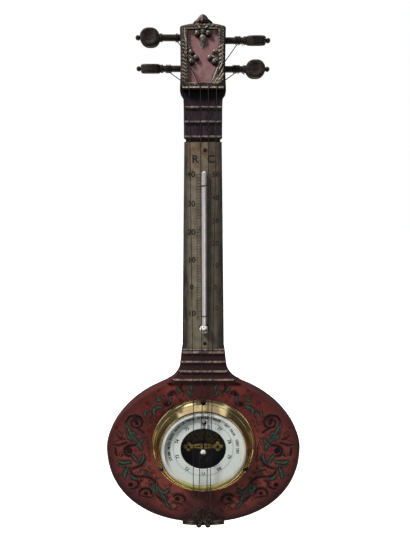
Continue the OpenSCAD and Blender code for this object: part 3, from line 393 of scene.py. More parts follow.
across = times(red_lacquer, axis(red_lacquer, "X"), 1 / HALF_WIDE)
upright = times(red_lacquer, add(red_lacquer, "Math", {0: height, 1: BODY_SINKS}).outputs[0], 1 / HALF_TALL)
from_dial = add(red_lacquer, "Math", {0: times(red_lacquer, across, across),
    1: times(red_lacquer, upright, upright)}).outputs[0]
lay_over(red_lacquer, spots(red_lacquer, from_dial, 0.70, 0.99), (0.030, 0.011, 0.012))

# A darker band behind the strings, and painted shade with grime below the bezel and round the tailpiece.
aside = side_of(red_lacquer)
behind_strings = times(red_lacquer, steps(red_lacquer, aside, 0.019, 0.010), 0.62)
low_shade_and_grime = times(red_lacquer, times(red_lacquer, steps(red_lacquer, aside, 0.040, 0.018),
    steps(red_lacquer, height, -0.060, -0.084)), 0.8)
dark_band_and_shade = add(red_lacquer, "Math", {0: behind_strings, 1: low_shade_and_grime}, operation="MAXIMUM").outputs[0]
in_front = steps(red_lacquer, axis(red_lacquer, "Y"), -0.026, -0.032)
lay_over(red_lacquer, times(red_lacquer, dark_band_and_shade, in_front), (0.026, 0.012, 0.012))
raise_by(red_lacquer, cloud(red_lacquer, 1.1, 4), 0.05)
print("red lacquer ready")

# %% [markdown]
# The rest of the wood: blue-black lacquer on the upper neck, dark stained wood for the core and
# head, and polished black pegs with a hint of brown where the stain has thinned. Wood grain is
# noise squeezed across the grain, so its patches run along the piece. A painted highlight makes the
# finial and the pegs paler where they face up and to the left, towards the main lamp. Painted shade
# darkens the upper neck just under the nut, and the bone nut at its foot.

# %% Dark woods
def stained(name, low, high, roughness, grain=(8, 8, 0.5), size_mm=7, specular=0.2):
    """Wood under stain, with grain along the axis that the stretch leaves long."""
    material = start_finish(name, high, roughness, Specular_IOR_Level=specular)
    lines = cloud(material, size_mm, 6, grain)
    plug(material, "Base Color", tones(material, lines, (0.35, low), (0.68, high)))
    raise_by(material, lines, 0.12)
    return material


neck_lacquer = stained("neck_lacquer", (0.008, 0.006, 0.009), (0.034, 0.024, 0.029), 0.4,
    (4, 4, 0.5), 5, 0.3)
# Painted shade: the top of the neck is darker just under the nut.
lay_over(neck_lacquer, steps(neck_lacquer, axis(neck_lacquer, "Z"), 0.386, 0.402), (0.006, 0.005, 0.007))

dark_wood = stained("dark_wood", (0.010, 0.007, 0.006), (0.040, 0.028, 0.023), 0.5)

peg_black = stained("peg_black", (0.008, 0.006, 0.006), (0.034, 0.025, 0.023), 0.36, (0.5, 6, 6), 6, 0.3)
# Painted highlight: the pegs are paler where they face up and to the left, towards the main lamp.
lay_over(peg_black, times(peg_black, facing(peg_black, (-0.35, -0.45, 0.82), 0.80, 0.98), 0.5),
    (0.10, 0.085, 0.075))

finial_wood = stained("finial_wood", (0.004, 0.003, 0.003), (0.016, 0.010, 0.009), 0.4, (1, 1, 3), 4)
# Painted highlight: the finial is paler where it faces up and to the left, towards the main lamp.
lay_over(finial_wood, facing(finial_wood, (-0.50, -0.75, 0.43), 0.82, 0.98), (0.13, 0.095, 0.088))

bone = start_finish("bone", (0.42, 0.36, 0.27), 0.45)
plug(bone, "Base Color", tones(bone, cloud(bone, 1.6, 4), (0.38, (0.10, 0.08, 0.06)),
    (0.66, (0.42, 0.37, 0.31))))
# Painted shade: the nut is darker at its foot.
lay_over(bone, steps(bone, axis(bone, "Z"), 0.4062, 0.4057), (0.020, 0.015, 0.013))
raise_by(bone, cloud(bone, 1.2, 3), 0.15)
print("woods ready")

# %% [markdown]
# Metals. Polished brass is a metal with a yellow base colour; its character comes from what it
# mirrors, and from lathe marks that lie round the axis. Old gilding is duller, browner in its
# hollows, and bright where it is rubbed. A painted highlight also lightens the gilt and the berries
# where they face up and to the left, towards the main lamp, and painted shade darkens the berries
# on their lower right and the knob on its lower half. Steel parts are blued or bare. The dial's
# enamel and the printer's ink are made the same way, without the metal.

# %% Metals
LATHE_RINGS, LATHE_MARKS_MM = 420.0, 0.004
TOWARD_LAMP = (-0.46, -0.60, 0.65)


def turned_brass(name, low, high, roughness):
    """Brass from the lathe: fine rings round the dial's axis."""
    material = start_finish(name, high, roughness, 1.0, Specular_IOR_Level=0.5)
    plug(material, "Base Color", tones(material, cloud(material, 18, 4), (0.35, low), (0.65, high)))
    rings = add(material, "TexWave", {"Vector": place(material), "Scale": LATHE_RINGS,
        "Distortion": 0.4}, wave_type="RINGS", rings_direction="Y").outputs[1]
    raise_by(material, rings, LATHE_MARKS_MM)
    return material


bezel_brass = turned_brass("bezel_brass", (0.66, 0.52, 0.25), (0.86, 0.70, 0.40), 0.17)
ring_brass = turned_brass("ring_brass", (0.52, 0.50, 0.10), (0.66, 0.62, 0.18), 0.35)
works_brass = worn("works_brass", (0.34, 0.24, 0.08), (0.58, 0.42, 0.16), 0.34, 1.0, 9, 0.01)
bridge_brass = worn("bridge_brass", (0.22, 0.145, 0.040), (0.46, 0.31, 0.095), 0.42, 0.5, 3, 0.01)
knob_metal = worn("knob_metal", (0.62, 0.60, 0.56), (0.88, 0.86, 0.82), 0.25, 0.3, 4, 0.005)
# Painted shade: the knob is darker over its lower half.
lay_over(knob_metal, steps(knob_metal, axis(knob_metal, "Z"), 0.0002, -0.0012), (0.05, 0.045, 0.04))

gilt = worn("gilt", (0.034, 0.025, 0.020), (0.225, 0.182, 0.148), 0.42, 0.35, 2.0, 0.14)
# Painted highlight: the gilt is paler where it faces up and to the left, towards the main lamp.
lay_over(gilt, times(gilt, facing(gilt, TOWARD_LAMP, 0.78, 0.98), 0.75), (0.46, 0.39, 0.32))
gilt_hollow = worn("gilt_hollow", (0.014, 0.010, 0.008), (0.085, 0.068, 0.056), 0.5, 0.2, 1.6, 0.14)
gilt_bright = worn("gilt_bright", (0.14, 0.11, 0.085), (0.62, 0.53, 0.43), 0.34, 0.4, 1.3, 0.08)
berry_gilt = worn("berry_gilt", (0.040, 0.030, 0.024), (0.24, 0.20, 0.165), 0.2, 0.5, 2.0,
    Specular_IOR_Level=0.9)
# Painted shade on each berry's lower right side, and a painted highlight on its upper left.
lay_over(berry_gilt, facing(berry_gilt, (0.3, 0.3, -0.9), -0.1, 0.6), (0.012, 0.009, 0.008))
lay_over(berry_gilt, facing(berry_gilt, TOWARD_LAMP, 0.86, 0.98), (0.60, 0.52, 0.45))
ridge_gilt = worn("ridge_gilt", (0.075, 0.052, 0.045), (0.30, 0.235, 0.20), 0.38, 0.3, 3.5, 0.08)

bronze = worn("bronze", (0.020, 0.012, 0.010), (0.085, 0.055, 0.042), 0.34, 0.55, 2.2, 0.12)
bronze_rubbed = worn("bronze_rubbed", (0.07, 0.05, 0.04), (0.33, 0.27, 0.22), 0.3, 0.6, 1.6, 0.04)
blued_steel = worn("blued_steel", (0.010, 0.010, 0.014), (0.03, 0.03, 0.04), 0.3, 0.8, 3, 0.005)
screw_dark = worn("screw_dark", (0.012, 0.007, 0.009), (0.045, 0.025, 0.030), 0.42, 0.3, 3)
steel = worn("steel", (0.30, 0.30, 0.30), (0.52, 0.51, 0.50), 0.28, 1.0, 4, 0.005)
wire = worn("wire", (0.010, 0.008, 0.007), (0.035, 0.028, 0.024), 0.45, 0.4, 3, 0.02)
quicksilver = worn("quicksilver", (0.62, 0.62, 0.63), (0.78, 0.78, 0.79), 0.08, 1.0, 8, 0.0, 0.02)
enamel = worn("enamel", (0.70, 0.725, 0.70), (0.79, 0.80, 0.775), 0.3, 0.0, 24, 0.01, 0.04)
ink = worn("ink", (0.006, 0.006, 0.007), (0.02, 0.02, 0.022), 0.5, 0.0, 2, 0.0)
print("metals, enamel and ink ready")

# %% [markdown]
# The scale plate is brass under brown lacquer. It is darker along both edges, its right half is
# darker as painted shade, and the lacquer has red-brown stains near the top. The top plate of the
# movement is black, and above the arbor its black has rubbed down to dim brass. The thermometer's
# glass is milky, with painted shade along its left side, and its bulb is mottled dark and light as
# painted reflections. All three read the height or the side from Object coordinates.

# %% Plates
scale_brass = start_finish("scale_brass", (0.12, 0.10, 0.065), 0.42, 0.2)
plug(scale_brass, "Base Color", tones(scale_brass, cloud(scale_brass, 9, 5),
    (0.32, (0.112, 0.092, 0.060)), (0.5, (0.168, 0.140, 0.098)), (0.7, (0.215, 0.182, 0.132))))
plate_streaks = spots(scale_brass, cloud(scale_brass, 1.3, 4, (1, 1, 0.04)), 0.50, 0.66)
lay_over(scale_brass, times(scale_brass, plate_streaks, 0.45), (0.062, 0.046, 0.030))
upper_stain = spots(scale_brass, cloud(scale_brass, 5, 4), 0.45, 0.62, 0.75)
lay_over(scale_brass, times(scale_brass, steps(scale_brass, axis(scale_brass, "Z"), 0.300, 0.345),
    upper_stain), (0.13, 0.052, 0.022))
# Painted shade: the right half of the plate is darker.
shaded_right_half = steps(scale_brass, axis(scale_brass, "X"), 0.001, 0.009)
lay_over(scale_brass, times(scale_brass, shaded_right_half, 0.52), (0.045, 0.036, 0.032))
dark_edge = spots(scale_brass, cloud(scale_brass, 6, 3, (1, 1, 0.2)), 0.35, 0.65, 1, 0.55)
lay_over(scale_brass, times(scale_brass, steps(scale_brass, side_of(scale_brass), 0.0125, 0.0195),
    dark_edge), (0.026, 0.020, 0.018))
raise_by(scale_brass, cloud(scale_brass, 1.2, 3), 0.03)

black_plate = start_finish("black_plate", (0.006, 0.006, 0.008), 0.35)
rubbed = times(black_plate, steps(black_plate, axis(black_plate, "Z"), -0.001, 0.004),
    spots(black_plate, cloud(black_plate, 2.4, 4, (1.6, 1, 0.7)), 0.44, 0.58))
plug(black_plate, "Base Color", mix(black_plate, rubbed, (0.006, 0.006, 0.009, 1),
    (0.110, 0.078, 0.034, 1)))
raise_by(black_plate, cloud(black_plate, 1.5, 3), 0.03)

milk_glass = start_finish("milk_glass", (0.68, 0.65, 0.64), 0.3, Specular_IOR_Level=0.3)
# Painted shade: the tube is grey along its left side.
shaded_left_side = steps(milk_glass, axis(milk_glass, "X"), 0.0005, 0.0011)
stem = mix(milk_glass, shaded_left_side, (0.27, 0.255, 0.245, 1),
    tones(milk_glass, cloud(milk_glass, 12, 3), (0.35, (0.62, 0.59, 0.58)), (0.65, (0.72, 0.69, 0.68))))
# Painted reflections: the bulb is mottled dark and light.
bulb_painted_reflections = tones(milk_glass, cloud(milk_glass, 2.6, 3), (0.42, (0.10, 0.09, 0.085)),
    (0.50, (0.45, 0.42, 0.40)), (0.58, (0.80, 0.78, 0.76)))
in_bulb = steps(milk_glass, axis(milk_glass, "Z"), 0.1555, 0.1545)
plug(milk_glass, "Base Color", mix(milk_glass, in_bulb, stem, bulb_painted_reflections))
print("plates ready")

# %% [markdown]
# Glass is clear, with a trace of grey-green. Real glass lets the lamps' light through, which a
# path tracer finds slowly, so the glass piece is told not to cast shadows. The bevel round it is
# frosted and pale as painted reflection of the light it catches, and greenish at the bottom as
# painted reflection of the brass below.

# %% Glass
clear_glass = start_finish("clear_glass", (0.94, 0.97, 0.96), 0.02, Transmission_Weight=1.0, IOR=1.46)
ripple = cloud(clear_glass, 30, 2)
plug(clear_glass, "Roughness", add(clear_glass, "MapRange",
    {"Value": ripple, "To Min": 0.0, "To Max": 0.04}).outputs[0])
# Painted reflection: the frosted bevel is pale, and greenish gold at the bottom where it mirrors the brass.
bevel_glass = start_finish("bevel_glass", (0.66, 0.67, 0.65), 0.18, Transmission_Weight=0.35, IOR=1.46)
plug(bevel_glass, "Base Color", tones(bevel_glass, cloud(bevel_glass, 14, 3), (0.35, (0.58, 0.58, 0.54)),
    (0.65, (0.74, 0.74, 0.70))))
lay_over(bevel_glass, steps(bevel_glass, axis(bevel_glass, "Z"), -0.030, -0.044), (0.52, 0.48, 0.19))
print("finishes:", len(bpy.data.materials))

# %% [markdown]
# Two helpers turn shapes into finished pieces. One keeps a new mesh; the other takes a copy of a
# measured piece, merges its loose triangles, smooths its curved sides and leaves its real corners
# sharp. Both ride on the body that the piece belongs to.

# %% Helpers for pieces
MERGE_BELOW = 0.002 * MM
CORNER = math.radians(25)
node_body = {node: body for body, nodes in frame["record"]["behaviour"]["bodies"].items() for node in nodes}


def keep(name, shape, finish, like, stands_for=(), crease=35):
    """Make a bmesh a finished piece that moves with the node that it is like."""
    mesh = bpy.data.meshes.new(name)
    shape.to_mesh(mesh)
    shape.free()
    mesh.materials.append(finish)
    mesh.shade_smooth()
    mesh.set_sharp_from_angle(angle=math.radians(crease))
    made = bpy.data.objects.new(name, mesh)
    bpy.context.scene.collection.objects.link(made)
    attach(made, node_body[like])
    if stands_for:
        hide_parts(*stands_for)
    return made


def dress(node, finish, rounding=0):
    """A merged, smooth copy of a measured node, whose flat faces stay flat. rounding is in mm."""
    shape = bmesh.new()
    shape.from_mesh(frame["nodes"][node].data)
    bmesh.ops.remove_doubles(shape, verts=shape.verts, dist=MERGE_BELOW)
    if rounding:
        bmesh.ops.dissolve_limit(shape, angle_limit=math.radians(1), verts=shape.verts, edges=shape.edges)
        corners = [edge for edge in shape.edges
            if len(edge.link_faces) == 2 and edge.calc_face_angle() > CORNER]
        bmesh.ops.bevel(shape, geom=corners, offset=rounding * MM, segments=3, profile=0.5,
            affect="EDGES", clamp_overlap=True, material=-1)
    made = keep("finished_" + node, shape, finish, node, [node])
    even = made.modifiers.new("even_shading", "WEIGHTED_NORMAL")
    even.keep_sharp = True
    even.weight = 100
    return made


print("bodies:", len(set(node_body.values())))

# %% [markdown]
# Most pieces of the instrument are right as measured, and only need their finish. The bezel and the
# knob also have their corners rounded, because polished metal never ends in a sharp edge.

# %% Dress the measured pieces
ROUNDING = {"bezel": 0.7, "set_knob": 1.6}
DRESSED = (
    (red_lacquer, "body_shell neck_foot_section"),
    (neck_lacquer, "neck_top_section"),
    (ridge_gilt, "foot_ridges top_ridges"),
    (dark_wood, "neck_core head_block"),
    (peg_black, "peg_left_upper peg_right_upper peg_left_lower peg_right_lower"),
    (bone, "nut"),
    (scale_brass, "scale_plate"),
    (milk_glass, "thermometer_tube"),
    (quicksilver, "mercury"),
    (wire, "tube_clips"),
    (screw_dark, "scale_screws string_pins bezel_screws"),
    (bezel_brass, "bezel"),
    (ring_brass, "glass_ring dial_ring"),
    (enamel, "dial"),
    (black_plate, "top_plate"),
    (works_brass, "movement_case base_plate spring_bridge main_lever pillars shaft_cocks"),
    (works_brass, "hanger_plate hanger_screws"),
    (bridge_brass, "arbor_bridge"),
    (steel, "capsule rocking_shaft pointer_arbor chain adjusting_screw"),
    (blued_steel, "spring_screws mainspring hairspring bridge_screws pointer set_hand"),
    (knob_metal, "set_knob"),
)
for finish, nodes in DRESSED:
    for node in nodes.split():
        dress(node, finish, ROUNDING.get(node, 0))

# %% [markdown]
# The glass has a wide bevel, which catches the light as a pale ring round the dial. It is turned
# like a piece on a lathe: half of its section is spun once round the dial's axis. The bevel and the
# edge get a frosted finish of their own, pale as painted reflection, because a clear one would show
# only what lies behind.

# %% Bevelled glass
GLASS_EDGE = 0.6 * MM
SPINDLE_HOLE, PALE_RING_START, BEVEL_START = 1.54 * MM, 46.4 * MM, 48.0 * MM
glass_low, glass_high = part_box("glass")
section = [(SPINDLE_HOLE, glass_high.y), (PALE_RING_START, glass_high.y), (glass_high.x, glass_high.y),
    (glass_high.x, glass_high.y - GLASS_EDGE), (BEVEL_START, glass_low.y), (PALE_RING_START, glass_low.y),
    (SPINDLE_HOLE, glass_low.y)]
disc = bmesh.new()
corners = [disc.verts.new((radius, y, 0)) for radius, y in section]
edges = [disc.edges.new((corners[i], corners[i - 1])) for i in range(len(corners))]
bmesh.ops.spin(disc, geom=corners + edges, cent=(0, 0, 0), axis=(0, 1, 0), angle=math.tau, steps=128,
    use_merge=True)
bmesh.ops.remove_doubles(disc, verts=disc.verts, dist=MERGE_BELOW)
bmesh.ops.recalc_face_normals(disc, faces=disc.faces)
for face in disc.faces:
    face.material_index = int(face.calc_center_median().xz.length > PALE_RING_START)
bevelled_glass = keep("bevelled_glass", disc, clear_glass, "glass", ["glass"], 5)
bevelled_glass.data.materials.append(bevel_glass)
bevelled_glass.visible_shadow = False
print("glass", round(2 * glass_high.x / MM, 1), "mm across")

# %% [markdown]
# The windings are wire wound on the pegs. A curve with a round bevel follows a helix round the
# peg's axis, from one end of the measured winding to the other, and becomes a mesh.

# %% Windings
WIRE_RADIUS = 0.45 * MM
TURNS = {"left_upper": 2, "right_upper": 4, "left_lower": 4, "right_lower": 5}
KNOTS_A_TURN = 32


def meshed(name, curve):
    """A bmesh of a curve, which is gone afterwards."""
    holder = bpy.data.objects.new(name, curve)
    shape = bmesh.new()
    shape.from_mesh(bpy.data.meshes.new_from_object(holder))
    bpy.data.objects.remove(holder)
    return shape


def tube(name, points, radius, like, stands_for=()):
    """Round wire along a list of points."""
    curve = bpy.data.curves.new(name, "CURVE")
    curve.dimensions = "3D"
    curve.bevel_depth = radius
    curve.bevel_resolution = 3
    curve.use_fill_caps = True
    spline = curve.splines.new("POLY")
    spline.points.add(len(points) - 1)
    for knot, point in zip(spline.points, points):
        knot.co = (*point, 1)
    return keep(name, meshed(name, curve), wire, like, stands_for, 60)


for corner, turns in TURNS.items():
    node = "winding_" + corner
    low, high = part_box(node)
    middle = (low + high) / 2
    coil = (high.z - low.z) / 2 - WIRE_RADIUS
    side = -1 if corner.startswith("left") else 1
    ends = (high.x, low.x) if side < 0 else (low.x, high.x)
    start, end = ends[0] + side * WIRE_RADIUS, ends[1] - side * WIRE_RADIUS
    helix = []
    for i in range(KNOTS_A_TURN * turns + 1):
        angle = 2 * math.pi * i / KNOTS_A_TURN
        helix.append((start + (end - start) * i / (KNOTS_A_TURN * turns),
            middle.y - coil * math.sin(angle), middle.z + coil * side * math.cos(angle)))
    tube("wound_" + corner, helix, WIRE_RADIUS, node, [node])
print("windings:", sum(TURNS.values()), "turns")

# %% [markdown]
# The four strings are taut wires. Each follows the same few points as the measured strings do:
# off its peg, over the head's edge and the nut, down to the bezel's rim, over the glass, and to its
# pin in the tailpiece. A point is (x, z, distance from the wall) in millimetres.

# %% Strings
ROUTES = {
    "string_1": [(-35.8, 424.9, 27.8), (-22.25, 413.4, 38.85), (-13.9, 406.3, 42), (-11.4, 50.2, 47.5),
        (-12, -50.1, 47.5), (-11, -97.3, 39.4)],
    "string_2": [(-26.6, 454.5, 27.8), (-22.25, 445.8, 38.85), (-2.5, 406.3, 42), (-1.3, 51.5, 47.5),
        (-3.95, 0, 47.5), (-5.1, -51.25, 47.5), (-5, -97.3, 39.4)],
    "string_3": [(35.8, 451.8, 27.8), (22.25, 431.4, 38.85), (5.6, 406.3, 42), (5.6, 51.2, 47.5),
        (4.5, -51.3, 47.5), (4.5, -97.3, 39.4)],
    "string_4": [(34.5, 424.4, 27.8), (22.25, 413.6, 38.85), (13.9, 406.3, 42), (10, 50.5, 47.5),
        (8.6, -50.8, 47.5), (9, -97.3, 39.4)],
}
for node, route in ROUTES.items():
    tube("taut_" + node, [(x * MM, -out * MM, z * MM) for x, z, out in route], WIRE_RADIUS, node, [node])
print("strings:", len(ROUTES))

# %% [markdown]
# Painted scrolls and carved leaves are both strokes: a stroke starts thin, swells and thins out
# again. A curve can do that, because its bevel follows a radius at each point. The round stroke is
# then pressed flat and laid on the surface below it, low for paint and high for carving. To find
# that surface, a ray is sent from the front towards the wall.

# %% Helpers for strokes
BEFORE_ALL = -0.2
THINNEST = 0.06


def surface_of(*nodes):
    """A function that gives the row y of the front of some measured nodes below a point."""
    shape = bmesh.new()
    for node in nodes:
        shape.from_mesh(frame["nodes"][node].data)
    tree = BVHTree.FromBMesh(shape)
    shape.free()

    def front(x, z):
        hit = tree.ray_cast(Vector((x, BEFORE_ALL, z)), Vector((0, 1, 0)))[0]
        return hit.y if hit else face_y
    return front


def strokes(name, lines, height, press, ground, finish, like, sides=2):
    """Strokes pressed flat on the ground. A line is a list of (x, z, width) in millimetres."""
    curve = bpy.data.curves.new(name, "CURVE")
    curve.dimensions = "3D"
    curve.bevel_depth = MM
    curve.bevel_resolution = sides
    curve.resolution_u = 5
    curve.use_fill_caps = True
    for points in lines:
        spline = curve.splines.new("NURBS")
        spline.points.add(len(points) - 1)
        spline.order_u = min(3, len(points))
        spline.use_endpoint_u = True
        for knot, (x, z, width) in zip(spline.points, points):
            knot.co = (x * MM, 0, z * MM, 1)
            knot.radius = max(width / 2, THINNEST)
    shape = meshed(name, curve)
    bmesh.ops.remove_doubles(shape, verts=shape.verts, dist=MERGE_BELOW / 2)
    for vert in shape.verts:
        vert.co.y = ground(vert.co.x, vert.co.z) - height * MM + vert.co.y * press
    bmesh.ops.recalc_face_normals(shape, faces=shape.faces)
    return keep(name, shape, finish, like, crease=50)


def both_sides(lines):
    """The strokes and their mirror images."""
    return lines + [[(-x, z, width) for x, z, width in line] for line in lines]


def resized(lines, by, more=0):
    """The same strokes with other widths."""
    return [[(x, z, by * width + more) for x, z, width in line] for line in lines]


def curl(x, z, reach, arrives, turns, width=0.6, eye=0.5):
    """A curl that winds in to a round eye. arrives is in degrees, anticlockwise from the right."""
    line = []
    last = round(10 * abs(turns)) + 2
    for i in range(last + 1):
        share = i / last
        radius = reach * (1 - share) + 0.45 * eye * share
        angle = math.radians(arrives + 360 * turns * share)
        line.append((x + radius * math.cos(angle), z + radius * math.sin(angle),
            width * (0.5 + 0.5 * share) + (eye * share ** 6)))
    return line


def leaf(x, z, turn, length, half, bend=0.0):
    """A pointed leaf from its foot at x, z. turn is in degrees, anticlockwise from the right."""
    line = []
    for share, swell in ((0, 0.25), (0.2, 0.8), (0.45, 1.0), (0.7, 0.7), (0.9, 0.3), (1, 0.05)):
        angle = math.radians(turn + bend * share)
        line.append((x + length * share * math.cos(angle), z + length * share * math.sin(angle),
            2 * half * swell))
    return line


def dots(places):
    """Round spots: strokes as long as they are wide. A place is (x, z, width)."""
    return [[(x + 0.5 * width * along, z, width * math.sqrt(max(1 - along ** 2, 0.01)))
        for along in (-1, -0.85, -0.5, 0, 0.5, 0.85, 1)] for x, z, width in places]


print("stroke helpers ready")

# %% [markdown]
# Each ridge of the neck's foot is a half-round moulding. A thicker stroke laid over the measured
# one gives it a soft round back, bright above and shaded below.

# %% Mouldings of the neck
NEAR_RIDGE = 0.7
# Height of the middle and thickness of each roll
ROLLS = [(124.3, 1.8), (120.7, 3.0), (109.1, 2.8), (97.3, 2.8), (86.8, 2.8)]
ridge_points = [vert.co for vert in frame["nodes"]["foot_ridges"].data.vertices]
rolls = []
for z, thick in ROLLS:
    half = (max(point.x for point in ridge_points if abs(point.z / MM - z) < NEAR_RIDGE) / MM
        - 0.5 * thick)
    rolls.append([(half * share / 4, z, thick) for share in range(-4, 5)])
strokes("rolls_on_foot_ridges", rolls, 0.75, 0.45, surface_of("neck_foot_section"), ridge_gilt,
    "foot_ridges", 4)
print("mouldings:", len(rolls))

# %% [markdown]
# Painted scrolls cover the lacquer round the dial: dark curls with round eyes, green leaves, small
# rose petals, dots, and many fine brown tendrils. The painter worked with a brush, so each
# shape is one stroke, given by a few points and a width at each. One side is drawn here, and the
# other is its mirror image.

# %% Curls and their eyes
CURLS = [
    [(-38, 57, 1), (-40, 61, 1.7), (-40.5, 66, 2.2), (-38, 70.5, 2.2), (-34.5, 71, 1.6),
        (-32.8, 68.5, 1.2), (-34.5, 66.5, 0.7)],
    [(-38, 60, 1.2), (-38.3, 56.5, 1.6), (-40.5, 53.5, 1.9), (-44.5, 52.4, 1.8), (-47.5, 55, 1.4),
        (-47, 58.5, 0.9)],
    [(-93, 25, 0.9), (-93, 32, 1.6), (-89, 38.5, 2), (-82, 41, 1.9), (-75.5, 38.5, 1.9), (-72.8, 33, 1.8),
        (-74, 27, 1.6), (-79, 23.5, 1.5), (-85, 25, 1.3), (-87.5, 30, 1.1), (-86, 35, 0.8)],
    [(-85.5, 33, 0.7), (-84, 37, 1), (-80, 38.5, 1), (-76.5, 36, 0.9), (-76.3, 31, 0.7)],
    [(-79, 1, 1), (-85, 1.2, 1.9), (-91, -0.5, 2.6), (-95.5, -4, 2.4), (-96, -10, 2), (-92, -14.5, 1.7),
        (-86.5, -14, 1.1)],
    [(-111, 2, 0.7), (-104, 0, 1.5), (-98, 2.5, 1.7), (-92, 4.5, 0.9)],
    [(-105, 14, 0.7), (-100, 8.5, 1.3), (-94, 8.5, 0.9)],
    [(-107, -2, 1), (-108, -8, 1.8), (-105.5, -14, 1.2)],
    [(-89, -46.5, 1), (-83.5, -46.5, 1.5), (-80, -50.5, 1.8), (-81.3, -56.5, 2), (-86.5, -59.7, 1.7),
        (-92, -59.5, 1)],
    [(-79.5, -71, 0.9), (-80.5, -64.5, 1.6), (-76, -59.3, 1.9), (-69.5, -58.6, 1.9), (-64.8, -62, 1.9),
        (-65, -68, 1.5)],
    [(-77, -69, 1.2), (-71.5, -72, 1.3), (-66.5, -70.5, 0.9)],
    [(-38.5, -71, 1.1), (-35, -67.5, 1.9), (-29, -67.6, 2.1), (-24.5, -70.5, 2), (-22.2, -74.5, 1.6),
        (-24, -78, 0.9)],
    [(-39, -78, 0.8), (-34.5, -80.5, 1.2), (-29.5, -79.5, 1)],
    [(-25, 81, 0.8), (-26.5, 77, 1.4), (-25.5, 72, 1.2), (-21, 68.5, 0.8)],
    [(-103, -24.5, 1), (-97, -30, 1.4), (-88, -31.5, 1.5), (-79.5, -29, 1.7), (-73, -23, 1.6),
        (-70, -16, 0.9)],
    [(-90, -31, 1), (-89.5, -37, 1.2), (-84, -42, 1.3), (-77, -42.5, 1.3), (-70, -42.5, 1.5),
        (-63.5, -45.5, 1.9), (-59, -50.5, 2.2), (-57, -56, 2)],
    [(-58, 43.5, 1.1), (-64, 45.5, 0.9), (-69.5, 42.5, 1.6), (-71.5, 36.5, 1.1)],
    [(-80, 23.5, 1.3), (-75.5, 21.5, 1.7), (-72, 17, 1.2)],
    [(-60, -67, 1.2), (-55, -73, 1.6), (-50, -77, 1.8), (-45, -82, 2.2), (-40, -87.5, 1.2)],
]
# x, z and width of each eye
EYES = [
    (-37.6, 67.2, 2.6), (-43.6, 56, 2.9), (-81, 33.5, 3.4), (-80, 29.5, 2.6), (-90, -6.8, 4.7),
    (-90.2, -53.8, 3.9), (-71.6, -65.8, 3.6), (-32.4, -73.8, 3.8), (-72.2, 18, 2.1), (-28.8, 74.3, 1.6),
    (-77.3, -48, 1.8), (-63, -69.6, 1.6), (-65.8, -72.2, 1.6), (-57.2, -71, 1.3), (-54.2, -71.4, 1.3),
    (-44.8, -70.6, 1.3), (-33, -86, 1.2), (-36, -88, 1.5), (-27.6, -81.4, 1.5), (-24, -91.6, 1.3),
    (-64.4, -52, 1.2), (-27, -87, 1), (-75, -27.5, 1.3), (-99, -12.5, 1.8), (-22.6, -75.6, 1.3),
    (-66.4, 56, 1.3), (-53, 72, 1), (-104, 24, 1.1),
]
print("curls:", len(CURLS), "eyes:", len(EYES))

# %% Tendrils
# x, z, reach, direction it arrives from and turns of each curl, and its width and eye if not fine
TENDRILS = [curl(*place) for place in (
    (-77, -46.5, 4.6, 150, 1.3, 0.7, 0.6), (-65, -42, 3.8, 200, -1.3, 0.7, 0.6),
    (-71, -36, 4.2, 20, 1.3, 0.7, 0.6), (-62.5, -35.5, 3.4, 240, 1.2), (-81.5, -37.5, 3.4, 300, -1.2),
    (-57, -44.5, 3.2, 100, 1.2), (-70, -52, 3.6, 60, -1.2), (-75.5, -32, 2.6, 180, 1.1),
    (-66, -29, 3, 250, -1.2), (-61, -74, 3.6, 30, 1.2), (-45.5, -73.5, 4.2, 100, 1.2, 0.8, 0.7),
    (-27.5, -81.5, 4.4, 90, -1.2, 0.9, 0.7), (-18.5, -80.5, 3.8, 60, 1.2, 0.7, 0.5),
    (-34, -88, 3.8, 20, -1.2, 0.7, 0.5), (-21.5, -88.5, 3.2, 120, 1.1), (-13.5, -85, 3, 200, -1.1),
    (-52, -84, 3.2, 300, 1.2), (-71, -79, 3.6, 60, -1.2), (-103, -40, 3.2, 60, 1.1),
    (-101, 17, 4.2, 280, -1.2, 0.7, 0.6), (-100, -12.5, 4.4, 40, 1.2, 0.8, 0.6),
    (-66.5, 56, 4.2, 290, 1.2, 0.8, 0.6), (-57, 66, 3.2, 250, -1.1), (-53, 72, 2.8, 20, 1.1),
    (-29, 74.5, 3.8, 60, 1.1, 1, 1), (-19, 66.5, 2.8, 200, -1.1), (-104, 24, 3, 40, 1.1),
    (-66, 30, 3.4, 100, 1.2, 0.7, 0.5), (-65, 20, 2.8, 260, -1.2), (-66.5, -3, 2.8, 90, 1.1),
    (-112, -20, 3, 90, 1.1), (-93, -66, 2.6, 20, -1.1), (-47, 66, 2.4, 160, 1.1, 0.5, 0.5),
)] + [
    [(-70, 10, 0.6), (-66, 2, 0.8), (-67, -8, 0.7), (-65, -18, 0.5)],
    [(-79, -33, 0.5), (-72, -33, 0.8), (-66, -37, 0.8), (-58, -38, 0.5)],
    [(-84, -62, 0.5), (-88, -66, 0.8), (-93, -66, 0.5)],
    [(-60, 44, 0.5), (-63, 38, 0.8), (-65, 31, 0.5)],
    [(-97, 18, 0.5), (-98, 11, 0.8), (-104, 6, 0.7), (-111, 5, 0.4)],
    [(-44, -88, 0.5), (-38, -91, 0.8), (-30, -90, 0.5)],
]
print("tendrils:", len(TENDRILS))

